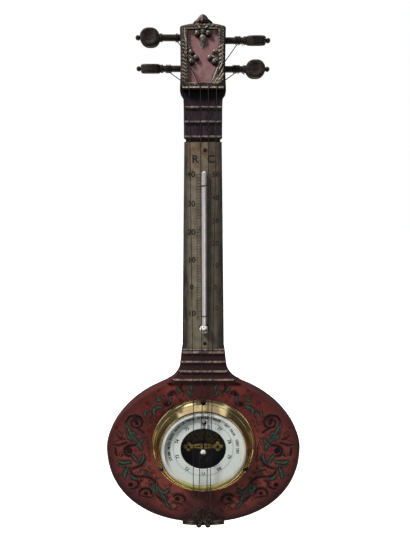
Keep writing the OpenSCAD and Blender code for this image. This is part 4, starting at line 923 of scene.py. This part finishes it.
# %% Leaves and petals
LEAVES = [
    [(-58.8, 41.5, 1.2), (-60, 46, 3.4), (-56.5, 50, 5), (-52.5, 51.6, 3.6), (-48.8, 50.6, 0.8)],
    [(-57.5, 58, 0.8), (-54, 59.7, 2.4), (-51, 60.2, 1.8), (-48.5, 59.4, 0.6)],
    [(-91.5, 28, 0.6), (-90.3, 22.5, 2.4), (-87.6, 17, 4.8), (-86.6, 12, 6), (-83.5, 8, 4.6),
        (-79.5, 5, 1.6)],
    [(-87, 18, 1.4), (-84.5, 17, 3), (-82.3, 16, 2.2), (-81, 14, 0.6)],
    [(-92, 17, 0.6), (-91, 12, 2.2), (-88.5, 9, 2.6), (-84, 6.5, 1)],
    [(-80.5, 6, 1.2), (-77.5, 1.5, 2.6), (-75.6, -3, 3.6), (-76.8, -8, 1)],
    [(-78, 1.5, 1), (-75.4, 5, 2.4), (-73.6, 8.6, 2.2), (-71.8, 11.5, 0.6)],
    [(-83, -1.5, 0.6), (-80.5, 0.5, 1.8), (-78, 0, 1.6), (-76.5, -2, 0.8)],
    [(-88.4, -10.5, 0.8), (-85.8, -14, 2.8), (-82.6, -18.5, 3.6), (-79.6, -24.5, 1)],
    [(-73.6, -10, 0.8), (-73, -14.5, 2.8), (-73.8, -19, 3.2), (-77.4, -25, 1)],
    [(-105.5, -19.5, 0.8), (-101.5, -22.6, 3.8), (-96.5, -23.6, 4.4), (-91, -22, 2.8),
        (-87.4, -21.4, 0.7)],
    [(-105, -25, 0.6), (-102, -27.4, 2), (-98.5, -28.4, 1.6), (-95.5, -28, 0.6)],
    [(-93, -30, 1), (-95.4, -34, 3.8), (-97, -38.4, 5.2), (-97.6, -42.4, 3.2), (-97, -46, 0.6)],
    [(-90.6, -38.5, 0.8), (-87.6, -43, 3.4), (-84.4, -45.6, 4), (-81, -46.2, 1)],
    [(-63.4, -52, 0.6), (-62.6, -57, 2.2), (-61.2, -62.5, 3.2), (-60, -68, 0.8)],
    [(-58, -51, 0.6), (-57.6, -57.5, 2.8), (-57.8, -63, 3.2), (-58.8, -68, 0.8)],
    [(-56, -56.5, 0.8), (-54.2, -61.5, 3.4), (-51, -65.2, 4.8), (-46.6, -64.8, 4), (-43.4, -61, 1.8),
        (-42.4, -58, 0.5)],
    [(-53, -66.5, 1), (-49.6, -70, 2.8), (-47.4, -74, 2.2), (-46.8, -78, 0.6)],
    [(-48.6, -76.5, 0.8), (-46.4, -81, 2.6), (-43, -85.4, 2.8), (-39.4, -88.6, 0.8)],
    [(-17.5, 80.6, 1), (-15, 78.4, 3.2), (-13.8, 74.6, 2), (-14.4, 70, 0.6)],
    [(-31, 77, 0.8), (-30, 74.6, 2.8), (-28, 72.2, 2.2), (-25.6, 71, 0.6)],
    [(-19, 74, 0.6), (-16.4, 70, 2), (-15, 66.6, 1.8), (-14.6, 63, 0.5)],
    [(-69.4, 47, 0.6), (-69.2, 43.6, 2.2), (-69.8, 40, 1.8), (-71, 37, 0.6)],
    [(-40.6, 66, 0.6), (-39.8, 62.5, 1.8), (-38.8, 59.5, 1.4), (-38.6, 57, 0.5)],
    [(-92.6, 30, 0.6), (-93.6, 27, 1.8), (-92.4, 24, 1.4), (-91.6, 22, 0.5)],
    [(-66, -53, 0.5), (-65.4, -57, 1.6), (-63.8, -60, 1.6), (-62.6, -63, 0.5)],
]
# x, z and reach of each flower
PETALS = [
    (-67, 50, 3.4), (-45, 49, 3.3), (-53.5, 41.5, 2.8), (-77.2, 13, 3.7), (-83, -6.2, 3.2),
    (-89, 3.6, 2.4), (-78, -14, 3), (-57, -68.2, 2.8), (-46, -73.4, 2.2), (-54.5, -76, 2.2),
    (-42, -71.4, 2), (-43.5, 63.4, 2.4), (-101, 28, 2.8), (-98, -48, 2.4), (-73, -26, 2.2),
    (-29, 67.6, 2.4), (-66.5, -52.5, 2.2), (-91, 38, 2.2), (-106, -31, 3), (-66, -20, 2.6),
    (-47, -92, 2.4), (-84, -52, 1.8), (-70, 28, 1.8),
]
print("leaves:", len(LEAVES), "flowers:", len(PETALS))

# %% [markdown]
# Leaves of this kind are acanthus leaves: short lobes stand along both sides of the stroke, and a
# light vein runs up the middle. The curls have small thorns in the same way. Each flower is five
# short strokes round a point.

# %% Lobes, veins and petals
LOBE_SPREAD = 48


def veins(line):
    """A light stroke along the middle of a leaf, and a short one beside it."""
    along_leaf = [(x, z, 0.13 * width + 0.1) for x, z, width in line[:-1]]
    (x0, z0, _), (x1, z1, _), (x2, z2, width) = line[:3]
    along = Vector((x2 - x0, z2 - z0)).normalized()
    beside = Vector((-along.y, along.x)) * 0.3 * width
    return [along_leaf, [(x1, z1, 0.3), (x2 - beside.x, z2 - beside.y, 0.15)]]


def petals(x, z, reach):
    """Five short strokes round a point."""
    return [leaf(x, z, 72 * i + 18, reach, 0.42 * reach) for i in range(5)]


def lobes(lines, reach, half):
    """Short pointed lobes along both sides of strokes, as on an acanthus leaf."""
    made = []
    for line in lines:
        for (x0, z0, _), (x, z, width), (x1, z1, _) in zip(line, line[1:], line[2:]):
            along = math.degrees(math.atan2(z1 - z0, x1 - x0))
            made += [leaf(x, z, along + way * LOBE_SPREAD, 0.45 * width + reach, half, -way * 20)
                for way in (-1, 1)]
    return made


broad_leaves = resized(LEAVES, 1.12)
thorns = lobes(CURLS, 1.6, 0.45) + lobes(broad_leaves, 2.3, 0.8)
flowers = [petal for flower in PETALS for petal in petals(*flower)]
leaf_lights = [vein for line in LEAVES for vein in veins(line)]
print("thorns:", len(thorns), "petals:", len(flowers))

# %% [markdown]
# The painter filled the gaps with small curls and leaflets. They are scattered by chance, with a
# fixed seed so that each run gives the same ones, and kept off the dial, the rim and the strings.

# %% Small curls and leaflets
SMALL_CURLS, CLEAR_OF_DIAL = 75, 67
chance = random.Random(11)
small_curls, small_leaves = [], []
while len(small_curls) < SMALL_CURLS:
    x, z = chance.uniform(-110, -13), chance.uniform(-98, 82)
    on_rim = (x / 112) ** 2 + ((z + 6) / 92) ** 2 > 0.84
    if math.hypot(x, z) < CLEAR_OF_DIAL or on_rim or (abs(x) < 30 and z < -76):
        continue
    small_curls.append(curl(x, z, chance.uniform(1.5, 3.2), chance.uniform(0, 360),
        chance.choice((-1.2, 1.2)), chance.uniform(0.6, 1.0), chance.uniform(0.8, 1.6)))
    small_leaves.append(leaf(x, z, chance.uniform(0, 360), chance.uniform(3, 6.5),
        chance.uniform(0.6, 1.1), chance.uniform(-40, 40)))
print("small curls:", len(small_curls))

# %% [markdown]
# Now the paint goes on in the painter's order: a dark shade round the shapes, the flowers, the fine
# tendrils, the dark curls, then green over them with a little dark left at the edges, and light
# veins last. Each layer lies a little higher than the one before. The paint is thin and dull.

# %% Painted scrolls
def paint(name, low, high, size_mm):
    """Thin dull paint."""
    return worn(name, low, high, 0.55, 0.0, size_mm, 0.02, Specular_IOR_Level=0.15)


paint_black = paint("paint_black", (0.006, 0.003, 0.004), (0.022, 0.008, 0.009), 3)
paint_umber = paint("paint_umber", (0.020, 0.006, 0.005), (0.052, 0.013, 0.010), 3)
paint_green = paint("paint_green", (0.018, 0.018, 0.014), (0.036, 0.060, 0.044), 1.6)
paint_pale = paint("paint_pale", (0.030, 0.052, 0.038), (0.070, 0.125, 0.090), 1.5)
paint_shade = paint("paint_shade", (0.056, 0.017, 0.014), (0.098, 0.026, 0.021), 3.5)
paint_rose = paint("paint_rose", (0.070, 0.009, 0.014), (0.140, 0.015, 0.030), 1.8)
on_body = surface_of("body_shell", "neck_foot_section")
bold_eyes = dots([(x, z, 1.7 * width) for x, z, width in EYES])
faces = 0
# Name, strokes, height over the body, flatness and finish of each layer
for name, lines, height, press, finish in (
    ("painted_shade", resized(CURLS + LEAVES, 2.0, 2.5), 0.02, 0.02, paint_shade),
    ("painted_flowers", flowers, 0.06, 0.04, paint_rose),
    ("painted_tendrils", resized(TENDRILS, 1.5, 0.15) + small_curls, 0.08, 0.04, paint_umber),
    ("painted_curls", resized(CURLS, 1.55) + resized(broad_leaves, 1, 1.6) + thorns, 0.10, 0.04,
        paint_black),
    ("painted_leaflets", small_leaves, 0.12, 0.04, paint_green),
    ("painted_eyes", bold_eyes, 0.13, 0.03, paint_black),
    ("painted_leaves", broad_leaves + lobes(broad_leaves, 1.0, 0.6), 0.16, 0.04, paint_green),
    ("painted_veins", leaf_lights, 0.24, 0.05, paint_pale),
):
    layer = strokes(name, both_sides(lines), height, press, on_body, finish, "body_shell")
    faces += len(layer.data.polygons)
print("paint:", faces, "faces")

# %% [markdown]
# The head's panel sits in a frame of carved and gilt wood. The hollows of the carving are dark, and
# so is the frame's outer side, which gets the wood's finish.

# %% Frame of the head
frame_low, frame_high = (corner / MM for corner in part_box("head_frame"))
panel_low, panel_high = (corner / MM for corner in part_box("head_panel"))
gilt_frame = dress("head_frame", gilt_hollow)
gilt_frame.data.materials.append(dark_wood)
for face in gilt_frame.data.polygons:
    x, out, z = face.center.x / MM, -face.center.y / MM, face.center.z / MM
    outside = abs(x) > panel_high.x + 1 or not panel_low.z - 1 < z < panel_high.z + 1
    face.material_index = int(outside and out < -frame_low.y - 0.3)
print("frame", round(frame_high.x - frame_low.x, 1), "mm wide")

# %% [markdown]
# Carving is made of the same strokes as the paint, with more height. Leaves lean up along both
# stiles, a fan of leaves fills the lower right corner, a scroll lies at the upper left, notches and
# beads run down beside the opening, and curls and leaves lie on the rails. The rim of the opening
# is worn bright near its corners.

# %% Strokes of the carving
side_x, foot, top = panel_high.x, panel_low.z, panel_high.z
stile = (side_x + frame_high.x) / 2
rim_x, rim_low, rim_high = side_x + 0.5, foot - 0.5, top + 0.5
carved = []
for i in range(11):
    z = foot + 2.5 + 3.4 * i
    carved += [leaf(-side_x - 1.0, z, 128, 6.2, 1.1, 25), leaf(-side_x - 0.8, z + 1.2, 62, 3.0, 0.7, -20)]
for i in range(5):
    z = foot + 17 + 3.7 * i
    carved += [leaf(side_x + 0.6, z, 52, 6.4, 1.2, -18), leaf(side_x + 5.2, z - 0.5, 118, 4.6, 1.0, 20)]
for x, turns in ((-13.5, 1.1), (-8, -1.1), (-4, 1.1), (12.5, 1.1)):
    carved.append(curl(x, foot - 2.2, 1.5, 90, turns, 0.8, 1.1))
carved += both_sides([leaf(x, top + 2.4, turn, 5.5, 1.0, 8) for x, turn in ((3, 30), (8, 14), (12.5, 4))]
    + [leaf(0.6, top + 3.4, 22, 7, 1.2, -25), curl(3.6, top + 1.6, 1.7, 200, 1.0, 0.8, 1.0)])
palmette = [
    [(8, 411, 0.9), (11.5, 418, 1.7), (14.5, 425, 2.0), (16.5, 430.5, 0.5)],
    [(8.8, 410.8, 0.9), (13, 417.5, 1.9), (17, 424.5, 2.2), (19.6, 431, 0.5)],
    [(10, 410.5, 0.9), (14.8, 415.8, 1.9), (18.8, 421.5, 2.2), (21, 427, 0.5)],
    [(11.5, 410.3, 0.9), (16, 413.8, 1.8), (19.6, 417.6, 2.0), (21.3, 421.5, 0.5)],
    [(13, 410, 0.8), (17, 411.8, 1.4), (20.5, 415, 0.5)],
]
scroll = [(-17.8, 462, 0.8), (-18.2, 456, 1.0), (-16.4, 450, 1.3), (-13.4, 445, 1.1), (-12.6, 442.5, 0.5)]
beads = [leaf(-side_x - 0.9, top - 1.5 - 2.2 * i, 250, 1.9, 0.55) for i in range(12)]
beads += [leaf(side_x + 0.9, top - 0.5 - 3 * i, 262, 2.7, 0.5) for i in range(7)]
beads += dots([(stile + 0.6, top - 1 - 2.5 * i, 0.95) for i in range(8)] + [(7.4, foot - 1.9, 0.8)])
edges = both_sides([[(rim_x, rim_high, 0.5), (9, rim_high, 0.8), (6, rim_high, 0.4)]]) + [
    [(-rim_x, rim_low, 0.5), (-9, rim_low, 1.1), (-3, rim_low, 0.6)],
    [(rim_x, rim_low, 0.5), (11, rim_low, 1.0), (6, rim_low, 0.5)]]
ring = [[(2.2 * math.cos(i / 8 * math.pi), foot - 1.7 + 1.7 * math.sin(i / 8 * math.pi), 0.9)
    for i in range(17)]]
carved_veins = resized([line for line in carved if len(line) == 6], 0.16, 0.1)
print("carving:", len(carved), "strokes")

# %% Carve
on_head, on_frame = surface_of("head_frame", "head_panel"), surface_of("head_frame")
# Name, strokes, height over the frame, flatness, ground, finish and roundness
for name, lines, height, press, ground, finish, sides in (
    ("carved_leaves", carved, 0.1, 0.75, on_head, gilt, 3),
    ("palmette_ground", resized(palmette, 2.6), 0.1, 0.5, on_head, gilt_hollow, 3),
    ("carved_palmette", palmette + [scroll], 0.9, 0.8, on_head, gilt_bright, 3),
    ("carved_beads", beads, 0.1, 0.8, on_head, gilt_bright, 3),
    ("carved_edges", edges, 0.1, 0.7, on_frame, gilt_bright, 2),
    ("carved_ring", ring, 0.1, 0.7, on_frame, dark_wood, 2),
    ("carved_veins", carved_veins, 0.8, 0.9, on_head, gilt_bright, 2),
):
    strokes(name, lines, height, press, ground, finish, "head_frame", sides)

# %% [markdown]
# The panel is painted a dusty rose that has greyed where it was handled, with fine cracks along
# the grain and the faint ghost of a painted flower near its foot.

# %% Panel
rose_panel = start_finish("rose_panel", (0.30, 0.13, 0.14), 0.55, Specular_IOR_Level=0.3)
plug(rose_panel, "Base Color", tones(rose_panel, cloud(rose_panel, 9, 5),
    (0.32, (0.14, 0.062, 0.064)), (0.5, (0.185, 0.086, 0.090)), (0.7, (0.225, 0.120, 0.12))))
streaks = cloud(rose_panel, 2.5, 4, (3, 1, 0.35))
lay_over(rose_panel, spots(rose_panel, streaks, 0.45, 0.72, 0.8), (0.17, 0.125, 0.11))
raise_by(rose_panel, streaks, 0.08)
dress("head_panel", rose_panel)

faded = worn("faded_paint", (0.065, 0.055, 0.048), (0.15, 0.095, 0.085), 0.6, 0.0, 1.5)
ghost = [leaf(0.5, foot + 1, 96, 12, 0.5), leaf(0, foot + 4, 128, 5, 0.9), leaf(0.5, foot + 6, 60, 4, 1.0),
    leaf(0, foot + 8, 108, 5, 1.1), leaf(-1, foot + 2, 168, 6, 0.5), leaf(1, foot + 2, 14, 6, 0.5),
    curl(-5, foot + 13, 2.4, 0, 1.1, 0.4, 0.6), curl(6, foot + 14, 2.2, 180, -1.1, 0.4, 0.6)]
strokes("panel_flower", ghost, 0.03, 0.03, on_head, faded, "head_panel")
print("panel", round(panel_high.z - panel_low.z, 1), "mm tall")

# %% [markdown]
# Berries and leaves hang from the top of the panel and grow in from both sides. A berry is a ball
# sunk a little into the panel, and a leaf is one broad stroke with narrow ones beside it and raised
# veins on it. A dark spot on the panel below and to the right of each berry is its painted shadow.

# %% Berries and leaves on the panel
def berries(name, places, node):
    """Round berries on the panel. A place is (x, z, radius) in millimetres."""
    shape = bmesh.new()
    for x, z, radius in places:
        at = Matrix.Translation((x * MM, (panel_low.y - 0.55 * radius) * MM, z * MM))
        bmesh.ops.create_icosphere(shape, subdivisions=3, radius=radius * MM, matrix=at)
    return keep(name, shape, berry_gilt, node, [node])


TOP_BERRIES = [(-5.6, top - 3.6, 2.7), (0, top - 2.6, 2.6), (5.6, top - 3.6, 2.7)]
SIDE_BERRIES = [(side * x, z, 2.5) for side in (-1, 1)
    for x, z in ((11.9, 440.8), (11.6, 431.8), (6.9, 435.6))]
# Painted shadows: a dark spot below and to the right of each berry.
berry_shadow_spots = dots([(x + 0.5, z - 0.7, 2.5 * radius) for x, z, radius in TOP_BERRIES + SIDE_BERRIES])
top_leaves = [leaf(0, top - 3, 270, 12.5, 4.0)] + both_sides([leaf(1, top - 4.5, 300, 6.5, 1.6, -15),
    leaf(3, top - 1, 345, 7, 1.6, -20), leaf(2, top - 0.8, 50, 5, 1.3)])
side_leaves = both_sides([leaf(-15, 436.2, turn, length, 1.5, 10) for turn, length in
    ((0, 8), (38, 8), (-38, 8), (75, 7.5), (-75, 7.5))])
leaf_tip = [[(-3, top - 13.5, 0.6), (0, top - 15, 2.6), (3, top - 13.5, 0.6)],
    leaf(0, top - 13.5, 270, 4.5, 1.2)]

strokes("painted_berry_shadows", berry_shadow_spots, 0.03, 0.03, surface_of("head_panel"), dark_wood, "side_clusters")
berries("top_berries", TOP_BERRIES, "top_cluster")
berries("side_berries", SIDE_BERRIES, "side_clusters")
strokes("top_leaves", top_leaves, 0.3, 0.9, on_head, gilt, "top_cluster", 3)
strokes("side_leaves", side_leaves, 0.3, 0.9, on_head, gilt, "side_clusters", 3)
strokes("leaf_veins", resized(top_leaves + side_leaves, 0.12, 0.12), 1.5, 0.9, on_head, gilt_bright,
    "side_clusters")
strokes("leaf_tip", leaf_tip, 0.1, 0.4, on_head, paint_pale, "top_cluster", 3)
print("berries:", len(TOP_BERRIES) + len(SIDE_BERRIES))

# %% [markdown]
# The finial is a turned cap with carved ribs. The turned shape comes from the measured one, and
# each point is drawn in or out by a wave that goes round the axis.

# %% Ribbed finial
RIBS, RIB_DEPTH = 14, 0.06
cap = bmesh.new()
cap.from_mesh(frame["nodes"]["finial"].data)
bmesh.ops.remove_doubles(cap, verts=cap.verts, dist=MERGE_BELOW)
cap_low, cap_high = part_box("finial")
cap_middle = (cap_low + cap_high) / 2
for vert in cap.verts:
    spoke = Vector((vert.co.x - cap_middle.x, vert.co.y - cap_middle.y))
    around = math.atan2(spoke.y, spoke.x)
    swell = 1 - RIB_DEPTH * (0.5 + 0.5 * math.cos(RIBS * around))
    vert.co.x = cap_middle.x + spoke.x * swell
    vert.co.y = cap_middle.y + spoke.y * swell
keep("ribbed_finial", cap, finial_wood, "finial", ["finial"], 30)
print("finial:", RIBS, "ribs")

# %% [markdown]
# The tailpiece is a cast bronze band that hooks over the bottom of the bowl, with a spray of
# leaves. The band is the measured one, and its leaves are carved strokes on top, rubbed bright
# along their middles.

# %% Tailpiece
dress("tailpiece", bronze)
on_tail = surface_of("tailpiece", "body_shell")
tail_leaves = both_sides([leaf(1.5, -103, 62, 15, 2.6, -10), leaf(2, -104, 25, 9, 1.8, 15),
    leaf(2, -104, -48, 9, 2.2, 15), leaf(9, -103, 4, 13, 1.4, -4)]) + [leaf(0, -104, 90, 11, 1.6)]
strokes("tail_leaves", tail_leaves, 0.1, 0.7, on_tail, bronze, "tailpiece", 3)
strokes("tail_veins", resized(tail_leaves, 0.14, 0.15), 1.0, 0.9, on_tail, bronze_rubbed, "tailpiece")
print("tailpiece:", len(tail_leaves), "leaves")

# %% [markdown]
# Scales and dials are printed in black. Letters come from a font curve, which becomes a mesh before
# it is turned to face forward and laid on its plate. A mark is a thin block of ink. The words and
# figures here are plain weather words and numbers.

# %% Helpers for print
INK, BOLDNESS = 0.06, 0.042


def laid(x, z, out, turn):
    """The place of something printed, out from the wall, turned clockwise by degrees."""
    return Matrix.Translation((x * MM, -out * MM, z * MM)) @ Matrix.Rotation(math.radians(turn), 4, "Y")


def print_words(name, words, out, like):
    """Letters on the front. A word is (text, height, x, z, clockwise turn), in millimetres."""
    shape = bmesh.new()
    for text, tall, x, z, turn in words:
        font = bpy.data.curves.new(name, "FONT")
        font.body = text
        font.size = 1.4 * tall * MM
        font.extrude = INK * MM / 2
        font.offset = BOLDNESS * tall * MM
        font.resolution_u = 3
        font.align_x = font.align_y = "CENTER"
        holder = bpy.data.objects.new(name, font)
        flat = bpy.data.meshes.new_from_object(holder)
        flat.transform(laid(x, z, out, turn) @ Matrix.Rotation(math.radians(90), 4, "X"))
        shape.from_mesh(flat)
        bpy.data.objects.remove(holder)
    bmesh.ops.remove_doubles(shape, verts=shape.verts, dist=MERGE_BELOW / 4)
    return keep(name, shape, ink, like)


def print_marks(name, marks, out, like):
    """Bars of ink. A mark is (wide, tall, x, z, clockwise turn), in millimetres."""
    shape = bmesh.new()
    for wide, tall, x, z, turn in marks:
        bmesh.ops.create_cube(shape, size=1,
            matrix=laid(x, z, out, turn) @ Matrix.Diagonal((wide * MM, INK * MM, tall * MM, 1)))
    return keep(name, shape, ink, like)


def by_rank(number, long_every, longer, middling, short):
    """The length of a mark: long at every so many, middling half-way, and short between."""
    return longer if number % long_every == 0 else middling if number % (long_every // 2) == 0 else short


print("ink", INK, "mm thick")

# %% [markdown]
# The thermometer has two scales. On the left the freezing point is 0 and the boiling point 80, and
# on the right it is 0 and 100, so one degree on the left is as tall as one and a quarter on the
# right. Each scale has a line for every degree, a figure at every tenth, and an upright line that
# crosses them all like the side of a ladder.

# %% Thermometer scale
FREEZING = 197.7
# Side, one degree's height, the degrees, the figures' size and x, the lines' lengths, thickness and
# x, and the upright line's x and thickness
SCALES = (
    (-1, 3.08, range(-12, 41), 6.2, 12.7, (6.5, 5.2, 4.0), 0.45, 2.6, 6.6, 0.4),
    (1, 2.464, range(-15, 51), 5.4, 13.6, (5.5, 4.4, 3.2), 0.4, 4.6, 7.8, 0.35),
)
plate_out = -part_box("scale_plate")[0].y / MM
figures = [("R", 8, -8.4, 336.5, 0), ("C", 8, 8.4, 336.5, 0)]
lines = []
for side, tall, degrees, figure, figure_x, lengths, thick, line_x, ladder_x, ladder in SCALES:
    for degree in degrees:
        z = FREEZING + tall * degree
        wide = by_rank(degree, 10, *lengths)
        lines.append((wide, thick, side * (line_x + wide / 2), z, 0))
        if degree % 10 == 0:
            figures.append((str(abs(degree)), figure, side * figure_x, z, 0))
    first, last = degrees[0], degrees[-1]
    lines.append((ladder, (last - first) * tall, side * ladder_x, FREEZING + (first + last) / 2 * tall, 0))
print_words("scale_figures", figures, plate_out, "scale_plate")
print_marks("scale_lines", lines, plate_out, "scale_plate")
print(len(figures), "figures and", len(lines), "lines on the scale")

# %% [markdown]
# The dial is read by the pointer. Ten numbers go round it, 36 degrees apart, with long, middling
# and short marks between them on a fine ring, and seven plain weather words follow the upper edge.

# %% Dial print
NUMBER_RADIUS, TICK_RADIUS, WORD_RADIUS = 32.6, 35.5, 41.2
# Each word and the turn of its middle, clockwise from the top
WEATHER = (("STORM", -103.5), ("MUCH RAIN", -75), ("RAIN OR WIND", -35), ("CHANGE", 0), ("FAIR", 22.7),
    ("SET FAIR", 50.8), ("VERY DRY", 85.5))
LETTER_TURN = math.degrees(2.4 / WORD_RADIUS)


def round_the_dial(radius, turn):
    """x, z and turn of something that far from the axis, clockwise from the top."""
    return radius * math.sin(math.radians(turn)), radius * math.cos(math.radians(turn)), turn


numbers = [(str(76 + i), 4.0, *round_the_dial(NUMBER_RADIUS, 36 * i)) for i in range(-5, 5)]
ticks = []
for i in range(-100, 100):
    tall = by_rank(i, 20, 2.6, 1.8, 1.1)
    ticks.append((0.22, tall, *round_the_dial(TICK_RADIUS + tall / 2, 1.8 * i)))
ticks += [(2.1, 0.16, *round_the_dial(TICK_RADIUS, 3 * i)) for i in range(120)]
words = []
for word, toward in WEATHER:
    for i, letter in enumerate(word):
        if letter != " ":
            turn = toward + (i - (len(word) - 1) / 2) * LETTER_TURN
            words.append((letter, 3.3, *round_the_dial(WORD_RADIUS, turn)))
dial_out = -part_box("dial")[0].y / MM
print_words("dial_numbers", numbers, dial_out, "dial")
print_words("dial_words", words, dial_out, "dial")
print_marks("dial_marks", ticks, dial_out, "dial")
print(len(numbers), "numbers,", len(ticks), "marks on the dial")

# %% [markdown]
# A string's spare end stands off its peg as a short springy tail. Two of them show, one on each
# right-hand peg.

# %% Loose ends of wire
TAIL_RADIUS = 0.3 * MM
for corner, reach in (("right_upper", 2.0), ("right_lower", 5.0)):
    low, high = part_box("winding_" + corner)
    start = Vector((high.x - WIRE_RADIUS, low.y + WIRE_RADIUS, (low.z + high.z) / 2))
    bends = [(0, 0, 0), (0.15 * reach, -0.8, -2.5), (0.5 * reach, -1.2, -5.0), (reach, -1.4, -6.8)]
    tube("tail_" + corner, [start + Vector(bend) * MM for bend in bends], TAIL_RADIUS, "winding_" + corner)
print("two loose ends")
